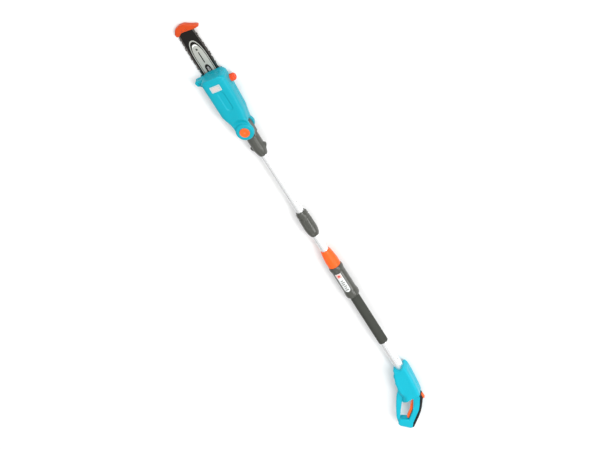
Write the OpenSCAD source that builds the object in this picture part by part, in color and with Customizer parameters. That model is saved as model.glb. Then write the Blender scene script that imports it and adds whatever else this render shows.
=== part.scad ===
// Telescoping pole saw, lying on its side as it rests on a floor.
// The pole's axis runs along X with the saw head at +X. The cutting side of the
// chain faces +Y and the side with the label faces +Z.
// Stations along the pole are counted from the middle of the pole, in millimetres.

/* [Pole] */
// Outer diameter of the telescopic and upper tubes
inner_tube_d = 25; // [23:0.5:26]
// Outer diameter of the outer tube
outer_tube_d = 29; // [28.5:0.1:29.5]
// Wall of the tubes
tube_wall = 1.4; // [1:0.1:1.6]
// Height of the pole's axis above the floor
axis_height = 39; // [39:0.5:42]

/* [Saw head] */
// Width of the motor housing
housing_w = 84; // [80:1:90]
// Height of the near face above the pole's axis
near_face = 37; // [36.5:0.5:39]
// Wall of the housing shells
housing_wall = 3; // [2.5:0.5:3.5]
// Diameter of the tilt button
button_d = 32; // [28:1:34]

/* [Bar and chain] */
// Half width of the guide bar at its middle
bar_half_w = 26.5; // [25:0.5:27]
// Radius of the bar's nose
nose_r = 23; // [21:0.5:23]
// Distance between two cutters along the chain
cutter_pitch = 19; // [17:1:22]

/* [Handle] */
// Half thickness of the handle's body
body_half_t = 26; // [24:1:30]
// Half thickness of the hand grip
grip_half_t = 14; // [12.5:0.5:16]
// Half thickness of the guard bar in front of the fingers
guard_half_t = 9; // [8:0.5:11]

/* [Hidden] */

$fn = 64;
eps = 0.01;
fit_gap = 0.3; // between curved faces of pieces that move past each other
shift_x = 47.25; // brings the middle of the length to X = 0
shift_y = -26.25; // brings the middle of the width to Y = 0

// Stations along the pole
pivot_x = 383;
housing_front = 596;
housing_rear = 416;
bar_y = 12.5; // the bar's middle line, towards the cutting side
bar_z = -29; // the bar's plane, on the far side of the housing
sprocket_x = 538;
motor_y = bar_y;
motor_z = 4;

ear_r = 29;
far_ear_r = 23.5;
ear_inner = 20; // half gap between the ears of the head
near_ear_top = 35;
far_ear_top = 36;
pin_r = 4.95;

tube_r = inner_tube_d / 2;
tube_bore = tube_r - tube_wall;
outer_r = outer_tube_d / 2;
outer_bore = outer_r - tube_wall;

teal = "#00AFC1";
orange = "#FF6A2A";
dark_grey = "#5C5D58";
black = "#18181A";
steel = "#B9BCBF";
alloy = "#D9DADA";

// ---------- helpers ----------

module in_place() {
    translate([shift_x, shift_y, axis_height]) children();
}

// A solid turned about the pole's axis; points are [station, radius]
module turned(points) {
    rotate([90, 0, 90])
        rotate_extrude()
            polygon([for (p = points) [p[1], p[0]]]);
}

// A tube along the pole from station a to station b
module pipe(a, b, r_out, r_in) {
    turned([[a, r_in], [b, r_in], [b, r_out], [a, r_out]]);
}

module rod_x(a, b, r) {
    translate([a, 0, 0]) rotate([0, 90, 0]) cylinder(r = r, h = b - a);
}

module rod_z(x, y, a, b, r) {
    translate([x, y, a]) cylinder(r = r, h = b - a);
}

module slab(points, a, b) {
    translate([0, 0, a]) linear_extrude(b - a) polygon(points);
}

module block(x0, x1, y0, y1, z0, z1) {
    translate([x0, y0, z0]) cube([x1 - x0, y1 - y0, z1 - z0]);
}

function arc(cx, cy, r, a0, a1, n) =
    [for (i = [0:n]) let (a = a0 + (a1 - a0) * i / n) [cx + r * cos(a), cy + r * sin(a)]];

function mirrored(points) =
    concat(points, [for (i = [len(points) - 1:-1:0]) [points[i][0], -points[i][1]]]);

function flipped(points) = [for (p = points) [p[0], -p[1]]];

module screw(x, y, top, bottom, shank_r, head_r) {
    // head at the bottom end, as the screws go in from the far side
    rod_z(x, y, bottom, bottom + 2.5, head_r);
    rod_z(x, y, bottom + 2, top, shank_r);
}

// ---------- handle ----------

// The hand grip runs at an angle to the pole; a point is given by how far it is
// along the grip and how far towards the fingers from the grip's inner face.
grip_angle = 133.6;
grip_start = [-778, 12];
function on_grip(along, out) = [
    grip_start[0] + along * cos(grip_angle) + out * sin(grip_angle),
    grip_start[1] + along * sin(grip_angle) - out * cos(grip_angle)
];

mouth_x = -629;
body_end = -756;
tube_end = -706; // the outer tube's end inside the handle

body_outline = [
    [mouth_x, -20], [-642, -24], [-673, -23], [-700, -20.5], [-735, -17.5], [body_end, -14],
    [body_end, 14], [-765, 60], [-743, 43], [-701, 43], [-678, 38], [-653, 31], [-640, 23],
    [mouth_x, 20]
];
guard_outline = [
    [-743, 43], [-701, 43], [-720, 53], [-736, 66], [-762, 81], [-787, 94], [-813, 106],
    [-836, 111], [-842, 108], [-820, 98], [-765, 60]
];
pad_reach = -28;
grip_outline = concat(
    [[body_end + 3, 16], [-770, 15], on_grip(2, 0), on_grip(92, 0)],
    [on_grip(92, -20), on_grip(30, -20), on_grip(12, -17), [-770, -7.5], [body_end + 3, -11]]
);
base_outline = [
    on_grip(82, 2), [-820, 98], [-836, 111], [-843, 110.5], [-848, 107], [-869, 81],
    [-868, 76], on_grip(110, -23), on_grip(92, -22)
];
pad_outline = concat(
    [[-757, -7], [-770, -4], on_grip(14, -14), on_grip(30, -18), on_grip(105, -18)],
    [on_grip(108, -22), on_grip(104, pad_reach + 1), on_grip(60, pad_reach)],
    [on_grip(34, pad_reach + 1), on_grip(16, pad_reach + 4), on_grip(2, pad_reach + 8)],
    [[-776, -13], [-757, -14]]
);
lockout_x = [-779, -761];
lockout_z = 6;
grip_screw = on_grip(52, -11);
handle_screw_spots = [[-662, 25], [-747, -7], [-748, 37], [-838, 100]];
flat_mid = [-858.5, 94]; // middle of the handle's flat end, where the mains inlet sits
flat_angle = 141;
trigger_hinge = [-749, 13];

module inlet_frame() {
    translate([flat_mid[0], flat_mid[1], 0]) rotate([0, 0, flat_angle]) children();
}

// Cavity of one shell, wall thickness taken off all round
module shell_cavity() {
    slab([[-640, -18], [-673, -19], [-700, -17], [-752, -13], [-752, 12], [-758, 50],
          [-743, 39], [-701, 39], [-678, 34.5], [-653, 27.5], [-640, 19]], -eps, body_half_t - 3);
    slab(concat([[-751, 11], [-771, 10], on_grip(2, -3), on_grip(86, -3)],
                [on_grip(86, -17), on_grip(30, -17), on_grip(12, -14), [-769, -5], [-751, -8]]),
         -eps, grip_half_t - 3);
}

module handle_half() {
    difference() {
        union() {
            difference() {
                union() {
                    slab(body_outline, 0, body_half_t);
                    slab(guard_outline, 0, guard_half_t);
                    slab(grip_outline, 0, grip_half_t);
                    slab(base_outline, 0, grip_half_t + 1);
                }
                shell_cavity();
            }
            // screw bosses
            for (p = handle_screw_spots)
                if (p[0] > -800) rod_z(p[0], p[1], 0, body_half_t - 1, 5);
            rod_z(grip_screw[0], grip_screw[1], 0, grip_half_t - 1, 4.5);
            rod_z(trigger_hinge[0], trigger_hinge[1], 8.5, body_half_t - 1, 4.5);
            // tube saddle
            block(-694, -688, -17, 30, 0, body_half_t - 1);
        }
        rod_x(tube_end - 1, mouth_x + 20, outer_r + 0.05);
        // the mouth is scooped out on the near and far side
        translate([mouth_x + 9, 0, 13]) cylinder(r1 = 14.8, r2 = 18, h = 14);
        // finger side slot for the trigger, and the lock-out's opening
        slab([[-750, 7], [-750, 20], [-760, 20], [-773, 17], on_grip(2, 1), on_grip(84.5, 1),
              on_grip(84.5, -9), on_grip(8, -9), [-770, 4], [-756, 6]], -eps, 7.6);
        block(lockout_x[0] - fit_gap, lockout_x[1] + fit_gap, -20, -2, -eps, lockout_z + fit_gap);
        rod_z(trigger_hinge[0], trigger_hinge[1], -eps, 12, 2);
        // recess of the mains inlet
        inlet_frame() block(-16, 10, -14, 14, -eps, 11);
        for (p = handle_screw_spots) rod_z(p[0], p[1], -eps, 8, 2.1);
        rod_z(grip_screw[0], grip_screw[1], -eps, 8, 2.1);
    }
}

module handle_near_shell() {
    color(teal) in_place() handle_half();
}

module handle_far_shell() {
    color(teal) in_place() difference() {
        mirror([0, 0, 1]) handle_half();
        for (p = handle_screw_spots) {
            rod_z(p[0], p[1], -40, eps, 2.1);
            rod_z(p[0], p[1], -40, p[0] > -800 ? -body_half_t + 4 : -grip_half_t + 3, 4.2);
        }
        rod_z(grip_screw[0], grip_screw[1], -40, eps, 2.1);
        rod_z(grip_screw[0], grip_screw[1], -40, -grip_half_t + 4, 4.2);
    }
}

module handle_screws() {
    color(steel) in_place() {
        for (p = handle_screw_spots)
            screw(p[0], p[1], 7.5, p[0] > -800 ? -body_half_t + 1 : -grip_half_t, 1.95, 3.8);
        screw(grip_screw[0], grip_screw[1], 7.5, -grip_half_t + 1, 1.95, 3.8);
    }
}

module handle_grip_pad() {
    color(black) in_place() difference() {
        slab(pad_outline, -grip_half_t - 1, grip_half_t + 1);
        slab(body_outline, -grip_half_t - 2, grip_half_t + 2);
        slab(grip_outline, -grip_half_t, grip_half_t);
        slab(base_outline, -grip_half_t - 1 - eps, grip_half_t + 1 + eps);
        block(lockout_x[0] - fit_gap, lockout_x[1] + fit_gap, -30, 0,
              -lockout_z - fit_gap, lockout_z + fit_gap);
    }
}

trigger_outline = [
    [-745.5, 10.5], [-745.5, 15.5], [-751.5, 17.8], [-759, 18.3], [-769.5, 17.2], on_grip(4, 9),
    on_grip(73, 9), on_grip(79, 6), on_grip(79.5, 0.4), on_grip(8, 0), [-771.5, 9.6], [-752, 8.2]
];

module trigger() {
    color(orange) in_place() difference() {
        union() {
            slab(trigger_outline, -7, 7);
            rod_z(trigger_hinge[0], trigger_hinge[1], -7, 7, 4.5);
        }
        rod_z(trigger_hinge[0], trigger_hinge[1], -8, 8, 2.05);
    }
}

module trigger_pin() {
    color(steel) in_place() rod_z(trigger_hinge[0], trigger_hinge[1], -12, 12, 1.97);
}

module lockout_button() {
    color(orange) in_place() {
        block(lockout_x[0], lockout_x[1], -17, -9, -lockout_z, lockout_z);
        block(lockout_x[0] + 5, lockout_x[1] - 5, -10, -4.5, -lockout_z + 2, lockout_z - 2);
    }
}

module main_switch() {
    color(black) in_place() {
        block(-741, -713, -9, 20, -11, 11);
        rod_x(-743.5, -740.5, 2.2);
    }
}

pin_gap = 6.2; // from the inlet's middle to each pin
module mains_inlet() {
    color(black) in_place() inlet_frame() difference() {
        block(-15.9, -0.3, -13.9, 13.9, -10.9, 10.9);
        block(-12, 20, -11, 11, -8.5, 8.5);
        for (s = [-1, 1]) rod_x_at(-17, -10, 0, s * pin_gap, 1.7);
    }
}

module rod_x_at(a, b, y, z, r) {
    translate([0, y, z]) rod_x(a, b, r);
}

module inlet_pins() {
    color("#C9A24A") in_place() inlet_frame()
        for (s = [-1, 1]) rod_x_at(-15.9, -3, 0, s * pin_gap, 1.6);
}

// ---------- outer pole ----------

grip_top = -192;
grip_low = -320;
sleeve_low = -523;

module outer_tube() {
    color(alloy) in_place() pipe(tube_end, -196, outer_r, outer_bore);
}

module pole_grip() {
    color(dark_grey) in_place() turned([
        [grip_top, 16.9], [grip_top, 21.4], [-196, 23.1], [-202, 23.5], [-207, 22.6], [-213, 21.5],
        [-294, 21.5], [-299, 22.6], [-305, 23.3], [-312, 23], [-317, 21.4], [grip_low, 18.6],
        [grip_low, outer_r + 0.05], [-226, outer_r + 0.05], [-226, 16.9]
    ]);
}

module pole_grip_label() {
    color("#E9E6E1") in_place() intersection() {
        pipe(-291, -216, 22.1, 21.55);
        block(-291, -216, -10, 10, 0, 40);
    }
}

ribs = 24;
rib_pitch = 7.5;
rib_start = sleeve_low + 14;
module sleeve_grip() {
    // shallow ribs all along the sleeve, with a plain rounded cuff at its lower end
    outer = concat(
        [[sleeve_low, 15], [sleeve_low + 3, 16]],
        [for (i = [0:ribs - 1]) each [
            [rib_start + i * rib_pitch, 16], [rib_start + i * rib_pitch + 1, 15.4],
            [rib_start + i * rib_pitch + 2, 15.4], [rib_start + i * rib_pitch + 3, 16]
        ]],
        [[grip_low - 0.1, 16]]
    );
    color("#46473F") in_place() turned(concat(
        [[sleeve_low, outer_r + 0.05]], outer, [[grip_low - 0.1, outer_r + 0.05]]));
}

module clamp_collet() {
    // a split ring that the clamp sleeve squeezes onto the telescopic tube
    color(black) in_place() difference() {
        turned([
            [-140, tube_r + 0.35], [-140, 13.9], [-150, 14.9], [-194, 14.9], [-195, 16.6],
            [-222, 16.6], [-222, outer_r + 0.05], [-196, outer_r + 0.05], [-196, tube_r + 0.35]
        ]);
        for (i = [0:3])
            rotate([90 * i, 0, 0]) block(-182, -138, -0.9, 0.9, 10, 20);
    }
}

clamp_lip = -127;
module clamp_sleeve() {
    color(orange) in_place() turned([
        [clamp_lip, tube_r + 0.4], [clamp_lip, 14.9], [-130, 16], [-136, 17.6], [-145, 18.8],
        [-155, 19.9], [-164, 20.8], [-173, 21.2], [-189, 21.2], [-191.5, 20.6],
        [-191.5, 15.3], [-138, 15.3], [-138, tube_r + 0.4]
    ]);
}

module coiled_lead() {
    color(black) in_place() rod_x(-700, -36, 7);
}

// ---------- inner pole ----------

module telescopic_tube() {
    color(alloy) in_place() pipe(-600, -16, tube_r, tube_bore);
}

module tube_end_bush() {
    color(black) in_place() turned([
        [-606, 8.4], [-606, outer_bore - fit_gap], [-600, outer_bore - fit_gap],
        [-600, tube_bore - 0.05], [-582, tube_bore - 0.05], [-582, 8.4]
    ]);
}

module plug_ring() {
    color(black) in_place() pipe(-55, -16, 16, tube_r + 0.05);
}

module socket_ring() {
    color(black) in_place() pipe(-15.5, 29, 16, tube_r + 0.05);
}

module lead_plug() {
    color("#2B2B2D") in_place() {
        pipe(-34, -16, 9.5, 3.6);
        for (a = [0, 120, 240]) rotate([a, 0, 0]) rod_x_at(-18, -8, 0, 6.4, 1);
    }
}

module lead_socket() {
    color("#2B2B2D") in_place() difference() {
        pipe(-15.5, 8, 9.5, 3.6);
        for (a = [0, 120, 240]) rotate([a, 0, 0]) rod_x_at(-17, -6, 0, 6.4, 1.2);
    }
}

nut_ribs = 18;
module coupling_nut() {
    color(dark_grey) in_place() difference() {
        turned([
            [36, tube_r + 0.5], [36, 15.6], [32, 16.4], [30, 18.6], [24, 19.4], [20, 19.4],
            [19, 18.2], [13, 18.2], [12, 19.6], [-33, 20.5], [-46, 19.4], [-56, 16.9],
            [-62, 14.2], [-62, tube_r + 0.5], [-57, tube_r + 0.5], [-57, 16.3], [30.5, 16.3],
            [30.5, tube_r + 0.5]
        ]);
        // finger grooves round the barrel
        for (i = [0:nut_ribs - 1])
            rotate([360 / nut_ribs * i, 0, 0]) rod_x_at(-30, 8, 0, 20.8, 1.2);
    }
}

module upper_tube() {
    color(alloy) in_place() pipe(-15.5, 345, tube_r, tube_bore);
}

module upper_lead() {
    color(black) in_place() rod_x(8.1, 343, 3.5);
}

neck_low = 272;
neck_top = 352;
neck_r = 21;
tongue_half_t = 19.6;
wing_outline = [[314, 15], [312, 24], [307, 28.5], [301, 27.5], [288, 18.5], [284, 12]];
neck_screw_spots = [[338, 16.5], [338, -16.5], [300, 17], [300, -17]];

module neck_half() {
    difference() {
        union() {
            intersection() {
                union() {
                    turned([
                        [neck_low, 0], [neck_low, 13.6], [276, 15.2], [292, 19.4], [300, neck_r],
                        [neck_top, neck_r], [neck_top, 0]
                    ]);
                    slab(wing_outline, -3, 3);
                    slab(flipped(wing_outline), -3, 3);
                }
                block(neck_low - 1, neck_top + 1, -40, 40, 0, 40);
            }
            // the tongue between the ears of the head
            slab(concat([[neck_top - 1, -19]], arc(pivot_x, 0, 22, -62, 62, 16),
                        [[neck_top - 1, 19]]), 0, tongue_half_t);
        }
        rod_x(neck_low - 1, 345, tube_r + 0.05);
        rod_z(pivot_x, 0, -1, 40, pin_r + 0.09);
        for (p = neck_screw_spots) rod_z(p[0], p[1], -1, 7, 1.6);
    }
}

module neck_near() {
    color(dark_grey) in_place() neck_half();
}

module neck_far() {
    color(dark_grey) in_place() difference() {
        mirror([0, 0, 1]) neck_half();
        for (p = neck_screw_spots) {
            rod_z(p[0], p[1], -30, eps, 1.6);
            rod_z(p[0], p[1], -30, -8, 3.1);
        }
    }
}

module neck_screws() {
    color(steel) in_place()
        for (p = neck_screw_spots) screw(p[0], p[1], 6, -10.5, 1.5, 2.9);
}

// ---------- saw head ----------

half_w = housing_w / 2;
arm_outline = [[housing_rear + 1, 28], [housing_rear + 1, -28], [390, -28.2], [390, 28.2]];
far_arm_outline = [[housing_rear + 1, 21], [housing_rear + 1, -21], [390, -21.5], [390, 21.5]];
far_front = -25; // the far shell's flat face beside the bar
deep_y = [-23, 32]; // the deeper hump behind the sprocket cover
cover_rear = 476;

// The cutting side is straight for most of its length, and the other side tapers to the rear
function housing_points(inset) = [
    [housing_rear + inset, 28 - inset], [425, 31 - inset], [440, 36.5 - inset],
    [455, half_w - 2 - inset], [470, half_w - 0.5 - inset], [490, half_w - inset],
    [586 - inset / 2, half_w - inset], [593 - inset, half_w - 5 - inset / 2],
    [housing_front - inset, half_w - 12], [housing_front - inset, 12 - half_w],
    [593 - inset, 5 - half_w + inset / 2], [586 - inset / 2, inset - half_w],
    [545, inset - half_w], [500, 2 - half_w + inset], [470, 4.5 - half_w + inset],
    [440, 8.5 - half_w + inset], [425, inset - 30], [housing_rear + inset, inset - 28]
];

stop_points = [
    [570, half_w - 2], [576, half_w + 12], [582, half_w + 19], [590, half_w + 21],
    [housing_front - 1, half_w + 19], [housing_front, half_w + 14], [housing_front, half_w - 14]
];
stop_half_t = 14;
dip_r = ear_r + 9; // reach of the dip between the housing and the button's boss
dip_floor = near_ear_top - 5;
housing_screw_spots = [[582, -34], [584, 36.4], [506, -33.5], [504, 35], [429, 26], [430, -15.5]];
screw_sink = 7; // the front screws' heads sit this deep in the far shell
function housing_screw_face(p) = p[0] < cover_rear ? -far_ear_top + 3 : far_front + screw_sink;

module stop_half(a, b) {
    slab(stop_points, a, b);
}

module housing_near_shell() {
    color(teal) in_place() difference() {
        union() {
            difference() {
                union() {
                    difference() {
                        slab(housing_points(0), 0, near_face);
                        slab(housing_points(housing_wall), -1, near_face - housing_wall);
                    }
                    slab(arm_outline, ear_inner, near_ear_top);
                    for (p = housing_screw_spots) rod_z(p[0], p[1], 0, near_face - 1, 4.5);
                    // floor under the dip
                    intersection() {
                        slab(housing_points(0), dip_floor - housing_wall, near_face - 1);
                        block(housing_rear, pivot_x + 8 + dip_r + housing_wall, -50, 50, 0, 50);
                    }
                }
                // dip between the housing and the button's boss
                rod_z(pivot_x + 8, 0, dip_floor, near_face + 1, dip_r);
            }
            stop_half(0, stop_half_t);
            rod_z(pivot_x, 0, ear_inner, near_ear_top, ear_r);
        }
        // gap for the neck's tongue
        rod_z(pivot_x, 0, -1, ear_inner, ear_r + 1);
        rod_z(pivot_x, 0, 0, near_ear_top, pin_r + 0.05);
        // pocket of the tilt button, and the lock ring's seat under it
        rod_z(pivot_x, 0, 23.2, near_ear_top + 1, button_d / 2 + fit_gap);
        rod_z(pivot_x, 0, ear_inner - 1, 22, 15.1);
        // long recess and label seat on the near face
        block(483, 545, -15, 9, near_face - 1.2, near_face + 1);
        rod_z(483, -3, near_face - 1.2, near_face + 1, 12);
        block(549.5, 572.5, -16.5, 19.5, near_face - 0.6, near_face + 1);
        // filler opening
        translate([556, -half_w - 5, -8]) rotate([-90, 0, 0]) cylinder(r = 9.5, h = 12);
        for (p = housing_screw_spots) rod_z(p[0], p[1], -1, 12, 2.1);
    }
}

module housing_far_shell() {
    color(teal) in_place() difference() {
        union() {
            difference() {
                union() {
                    slab(housing_points(0), far_front, 0);
                    intersection() {
                        slab(housing_points(0), -far_ear_top, far_front + 1);
                        block(housing_rear - 1, cover_rear, deep_y[0], deep_y[1], -50, 0);
                    }
                }
                slab(housing_points(housing_wall), far_front + housing_wall, 1);
                intersection() {
                    slab(housing_points(housing_wall), -far_ear_top + housing_wall, 1);
                    block(housing_rear, cover_rear - housing_wall, deep_y[0] + housing_wall,
                          deep_y[1] - housing_wall, -50, 1);
                }
            }
            stop_half(-stop_half_t, 0);
            slab(far_arm_outline, -far_ear_top + 1, -ear_inner);
            rod_z(pivot_x, 0, -far_ear_top, -ear_inner, far_ear_r);
            for (p = housing_screw_spots) rod_z(p[0], p[1], far_front + 1, 0, 5.4);
        }
        rod_z(pivot_x, 0, -ear_inner, 1, ear_r + 1);
        rod_z(pivot_x, 0, -40, 0, pin_r + 0.05);
        rod_z(pivot_x, 0, -40, -30, 9);
        rod_z(sprocket_x, bar_y, -40, 0, 9.05);
        rod_z(bar_stud_x, bar_y, -40, -20, 4.05);
        rod_z(tension_x, tension_y, -40, -20, 2.1);
        translate([0, tension_y, -17]) rod_x(housing_front - 10, housing_front + 1, 2.1);
        translate([556, -half_w - 5, -8]) rotate([-90, 0, 0]) cylinder(r = 9.5, h = 12);
        for (p = housing_screw_spots) {
            rod_z(p[0], p[1], -40, 1, 2.1);
            rod_z(p[0], p[1], -40, 3 + housing_screw_face(p), 4.2);
        }
    }
}

module housing_screws() {
    color(steel) in_place()
        for (p = housing_screw_spots)
            screw(p[0], p[1], 11, housing_screw_face(p), 1.95, 3.8);
}

module housing_label() {
    color("#D5DADA") in_place() block(550, 572, -16, 19, near_face - 0.55, near_face + 0.15);
}

module pivot_pin() {
    color(steel) in_place() {
        rod_z(pivot_x, 0, -33, 24, pin_r);
        rod_z(pivot_x, 0, 23.3, 26, 8);
    }
}

module pivot_nut() {
    color(steel) in_place() difference() {
        translate([pivot_x, 0, -35]) cylinder(r = 8.4, h = 4.9, $fn = 6);
        rod_z(pivot_x, 0, -40, 0, pin_r + 0.02);
    }
}

module lock_ring() {
    color(steel) in_place() difference() {
        rod_z(pivot_x, 0, 20.3, 21.9, 15);
        rod_z(pivot_x, 0, 10, 30, 7);
        for (i = [0:11])
            translate([pivot_x, 0, 0]) rotate([0, 0, 30 * i]) block(12.4, 16, -1.5, 1.5, 19, 23);
    }
}

button_top = 38;
module tilt_button() {
    color(orange) in_place() difference() {
        union() {
            rod_z(pivot_x, 0, 27.6, button_top - 1.5, button_d / 2);
            rod_z(pivot_x, 0, 30, button_top, button_d / 2 - 1.5);
        }
        rod_z(pivot_x, 0, 27, button_top - 2.4, 12);
    }
}

module button_spring() {
    // close coils drawn as a stack of rings round the pin's head
    color(steel) in_place()
        for (i = [0:4])
            translate([pivot_x, 0, 24.2 + 2.5 * i])
                rotate_extrude() translate([10, 0]) circle(r = 0.8, $fn = 16);
}

// ---------- bar and chain ----------

bar_stud_x = 584;
bar_tail = 556;
nose_x = 741.5;
bar_mid = 640;
shoulder_x = 575;
shoulder_half = 25;
wheel_r = 17;

// Outline of the chain's way round bar and sprocket, e outside the bar's edge
function chain_way(e) = concat(
    arc(nose_x, 0, nose_r + e, -84, 84, 20),
    [[bar_mid, bar_half_w + e], [shoulder_x, shoulder_half + e]],
    arc(sprocket_x, 0, wheel_r + e, 100, 260, 14),
    [[shoulder_x, -shoulder_half - e], [bar_mid, -bar_half_w - e]]
);

function bar_points(e) = concat(
    arc(nose_x, 0, nose_r + e, -84, 84, 20),
    [[bar_mid, bar_half_w + e], [shoulder_x, shoulder_half + e], [bar_tail + 4, 20 + e]],
    [[bar_tail - e, 15], [bar_tail - e, -15], [bar_tail + 4, -20 - e]],
    [[shoulder_x, -shoulder_half - e], [bar_mid, -bar_half_w - e]]
);

module at_bar() {
    in_place() translate([0, bar_y, bar_z]) children();
}

slot_half = 4.6;
slot_front = 612;
oil_hole_x = 678;
guard_screw_x = 757;
guard_screw_y = 7;

module guide_bar() {
    color("#24211F") at_bar() difference() {
        union() {
            slab(bar_points(0), 0.7, 1.9);
            slab(bar_points(0), -1.9, -0.7);
            slab(bar_points(-5), -1, 1);
        }
        block(bar_tail + 9, slot_front - slot_half, -slot_half, slot_half, -3, 3);
        rod_z(slot_front - slot_half, 0, -3, 3, slot_half);
        rod_z(bar_tail + 9, 0, -3, 3, slot_half);
        rod_z(oil_hole_x, 0, -3, 3, 2.2);
        rod_z(tension_x, tension_y - bar_y, -3, 3, 2.1);
        rod_z(guard_screw_x, guard_screw_y, -3, 3, 1.6);
        rod_z(guard_screw_x, -guard_screw_y, -3, 3, 1.6);
    }
}

// Half width of the bar at a station on its straight edges
function edge_y(x) = x > bar_mid
    ? bar_half_w + (nose_r - bar_half_w) * (x - bar_mid) / (nose_x - bar_mid)
    : shoulder_half + (bar_half_w - shoulder_half) * (x - shoulder_x) / (bar_mid - shoulder_x);

module cutter() {
    slab([[-5.5, -1], [-5.5, 1.6], [-3, 2.2], [-1.5, 0.6], [0, 2.4], [5, 1.9], [5, -1]], -2.6, 2.6);
}

module saw_chain() {
    color("#4A4846") at_bar() {
        difference() {
            slab(chain_way(4.6), -2.6, 2.6);
            slab(chain_way(0.4), -3, 3);
        }
        difference() {
            slab(chain_way(2), -0.5, 0.5);
            slab(chain_way(-4.2), -1, 1);
        }
        for (x = [shoulder_x + 12:cutter_pitch:nose_x - 12]) {
            translate([x, edge_y(x) + 4.4, 0]) mirror([1, 0, 0]) cutter();
            translate([x, -edge_y(x) - 4.4, 0]) mirror([0, 1, 0]) cutter();
        }
    }
}

guard_outer = [
    [742, 23], [742.5, 31.5], [745, 33.4], [752, 33.6], [762, 30], [770, 22], [775, 12],
    [776.6, 2], [776, -8], [772, -18], [764, -32], [758, -46], [755.5, -50.3], [751, -50.5],
    [749, -43], [747.5, -32], [750, -10], [751, 12]
];
tip_half_t = 8.5;
module tip_guard() {
    // a cap over the bar's nose with room inside for the chain
    color("#E0501A") at_bar() difference() {
        slab(guard_outer, -tip_half_t, tip_half_t);
        slab(concat(arc(nose_x, 0, nose_r + 8.2, -90, 90, 20), [[730, 31.2], [730, -31.2]]), -4, 4);
        for (s = [-1, 1]) {
            rod_z(guard_screw_x, guard_screw_y * s, -20, 20, 1.6);
            rod_z(guard_screw_x, guard_screw_y * s, -20, -tip_half_t + 3, 2.9);
        }
    }
}

module guard_screws() {
    color(steel) at_bar()
        for (s = [-1, 1])
            screw(guard_screw_x, guard_screw_y * s, tip_half_t - 1, -tip_half_t + 0.2, 1.5, 2.7);
}

// ---------- sprocket side ----------

cover_face = -39;
function cover_points(inset) = concat(
    [[590, 38.5 - inset]], arc(516, 0, 31 - inset, 105, 255, 16), [[590, -38.5 + inset]]
);

module sprocket_cover() {
    color(teal) at_bar() difference() {
        slab(cover_points(0), cover_face - bar_z, far_front - bar_z - 0.05);
        slab(cover_points(2.5), cover_face - bar_z + 2.5, 10);
        block(580, 600, -36, 36, cover_face - bar_z + 2.5, 10);
        rod_z(bar_stud_x, 0, -20, 0, 4.3);
    }
}

module bar_stud() {
    color(steel) in_place() rod_z(bar_stud_x, bar_y, -35.5, -20.5, 3.95);
}

module bar_nut() {
    // holds the cover and the bar on the stud, inside the cover's face
    color(steel) in_place() difference() {
        translate([bar_stud_x, bar_y, -36.4]) cylinder(r = 7.5, h = 4.4, $fn = 6);
        rod_z(bar_stud_x, bar_y, -40, -20, 3.98);
    }
}

tension_x = 571; // the pin that moves the bar
tension_y = bar_y + 16;
module tension_screw() {
    color(steel) in_place() {
        translate([0, tension_y, -17]) {
            rod_x(565, housing_front - 0.5, 2);
            rod_x(567, 575, 3);
        }
        rod_z(tension_x, tension_y, -31.5, -15, 1.9);
    }
}

// ---------- drive ----------

sprocket_teeth = 7;
module chain_sprocket() {
    color(steel) at_bar() translate([sprocket_x, 0, 0]) {
        difference() {
            linear_extrude(5, center = true)
                polygon([for (i = [0:sprocket_teeth * 4 - 1])
                    let (a = 360 * i / (sprocket_teeth * 4), r = i % 4 < 2 ? 12 : 9.4)
                    [r * cos(a), r * sin(a)]]);
            translate([0, 0, -6]) cylinder(r = 5.02, h = 12);
        }
    }
}

module output_shaft() {
    color(steel) in_place() rod_z(sprocket_x, bar_y, -33.5, 27, 5);
}

module output_bearings() {
    color(steel) in_place() {
        for (z = [-24.9, 18]) difference() {
            rod_z(sprocket_x, bar_y, z, z + 6, 9);
            rod_z(sprocket_x, bar_y, z - 1, z + 7, 5.06);
        }
    }
}

crown_teeth = 36;
crown_r = 24;
tooth_root = -2.8;
tooth_tip = -0.3;
tooth_w = 0.9;
tooth_in = 17; // radius where the teeth begin
tooth_out = 21.8;
module crown_gear() {
    color("#8F9296") in_place() translate([sprocket_x, bar_y, 0]) difference() {
        union() {
            translate([0, 0, -13]) cylinder(r = crown_r, h = tooth_root + 13);
            translate([0, 0, -13]) cylinder(r = 9, h = 24);
            for (i = [0:crown_teeth - 1])
                rotate([0, 0, 360 / crown_teeth * (i + 0.5)])
                    translate([tooth_in, -tooth_w / 2, tooth_root - eps])
                        cube([tooth_out - tooth_in, tooth_w, tooth_tip - tooth_root]);
        }
        translate([0, 0, -14]) cylinder(r = 5.02, h = 40);
    }
}

pinion_teeth = 9;
pinion_tip = 6.2;
pinion_root = 3.4;
module motor_rotor() {
    color("#A8603A") in_place() translate([0, motor_y, motor_z]) {
        rod_x(433, 515, 3.98);
        rod_x(452, 486, 14);
        rod_x(439.5, 449, 9);
        difference() {
            rod_x(490, 494, 20);
            for (i = [0:11])
                rotate([30 * i, 0, 0]) block(489, 495, -1.2, 1.2, 11, 21);
        }
        // pinion that drives the crown gear
        translate([514, 0, 0]) rotate([90, 0, 90]) linear_extrude(6.8) {
            circle(r = pinion_root);
            for (i = [0:pinion_teeth - 1])
                rotate(360 / pinion_teeth * i - 90)
                    polygon([[0, -0.8], [pinion_root, -0.8], [pinion_tip, -0.35],
                             [pinion_tip, 0.35], [pinion_root, 0.8], [0, 0.8]]);
        }
    }
}

module motor_stator() {
    color("#7C7F82") in_place() translate([0, motor_y, motor_z]) pipe(450, 488, 21, 14.6);
}

module motor_bearings() {
    color(steel) in_place() translate([0, motor_y, motor_z]) {
        pipe(433, 438.5, 8, 4.05);
        pipe(500, 506, 9, 4.05);
    }
}

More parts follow.
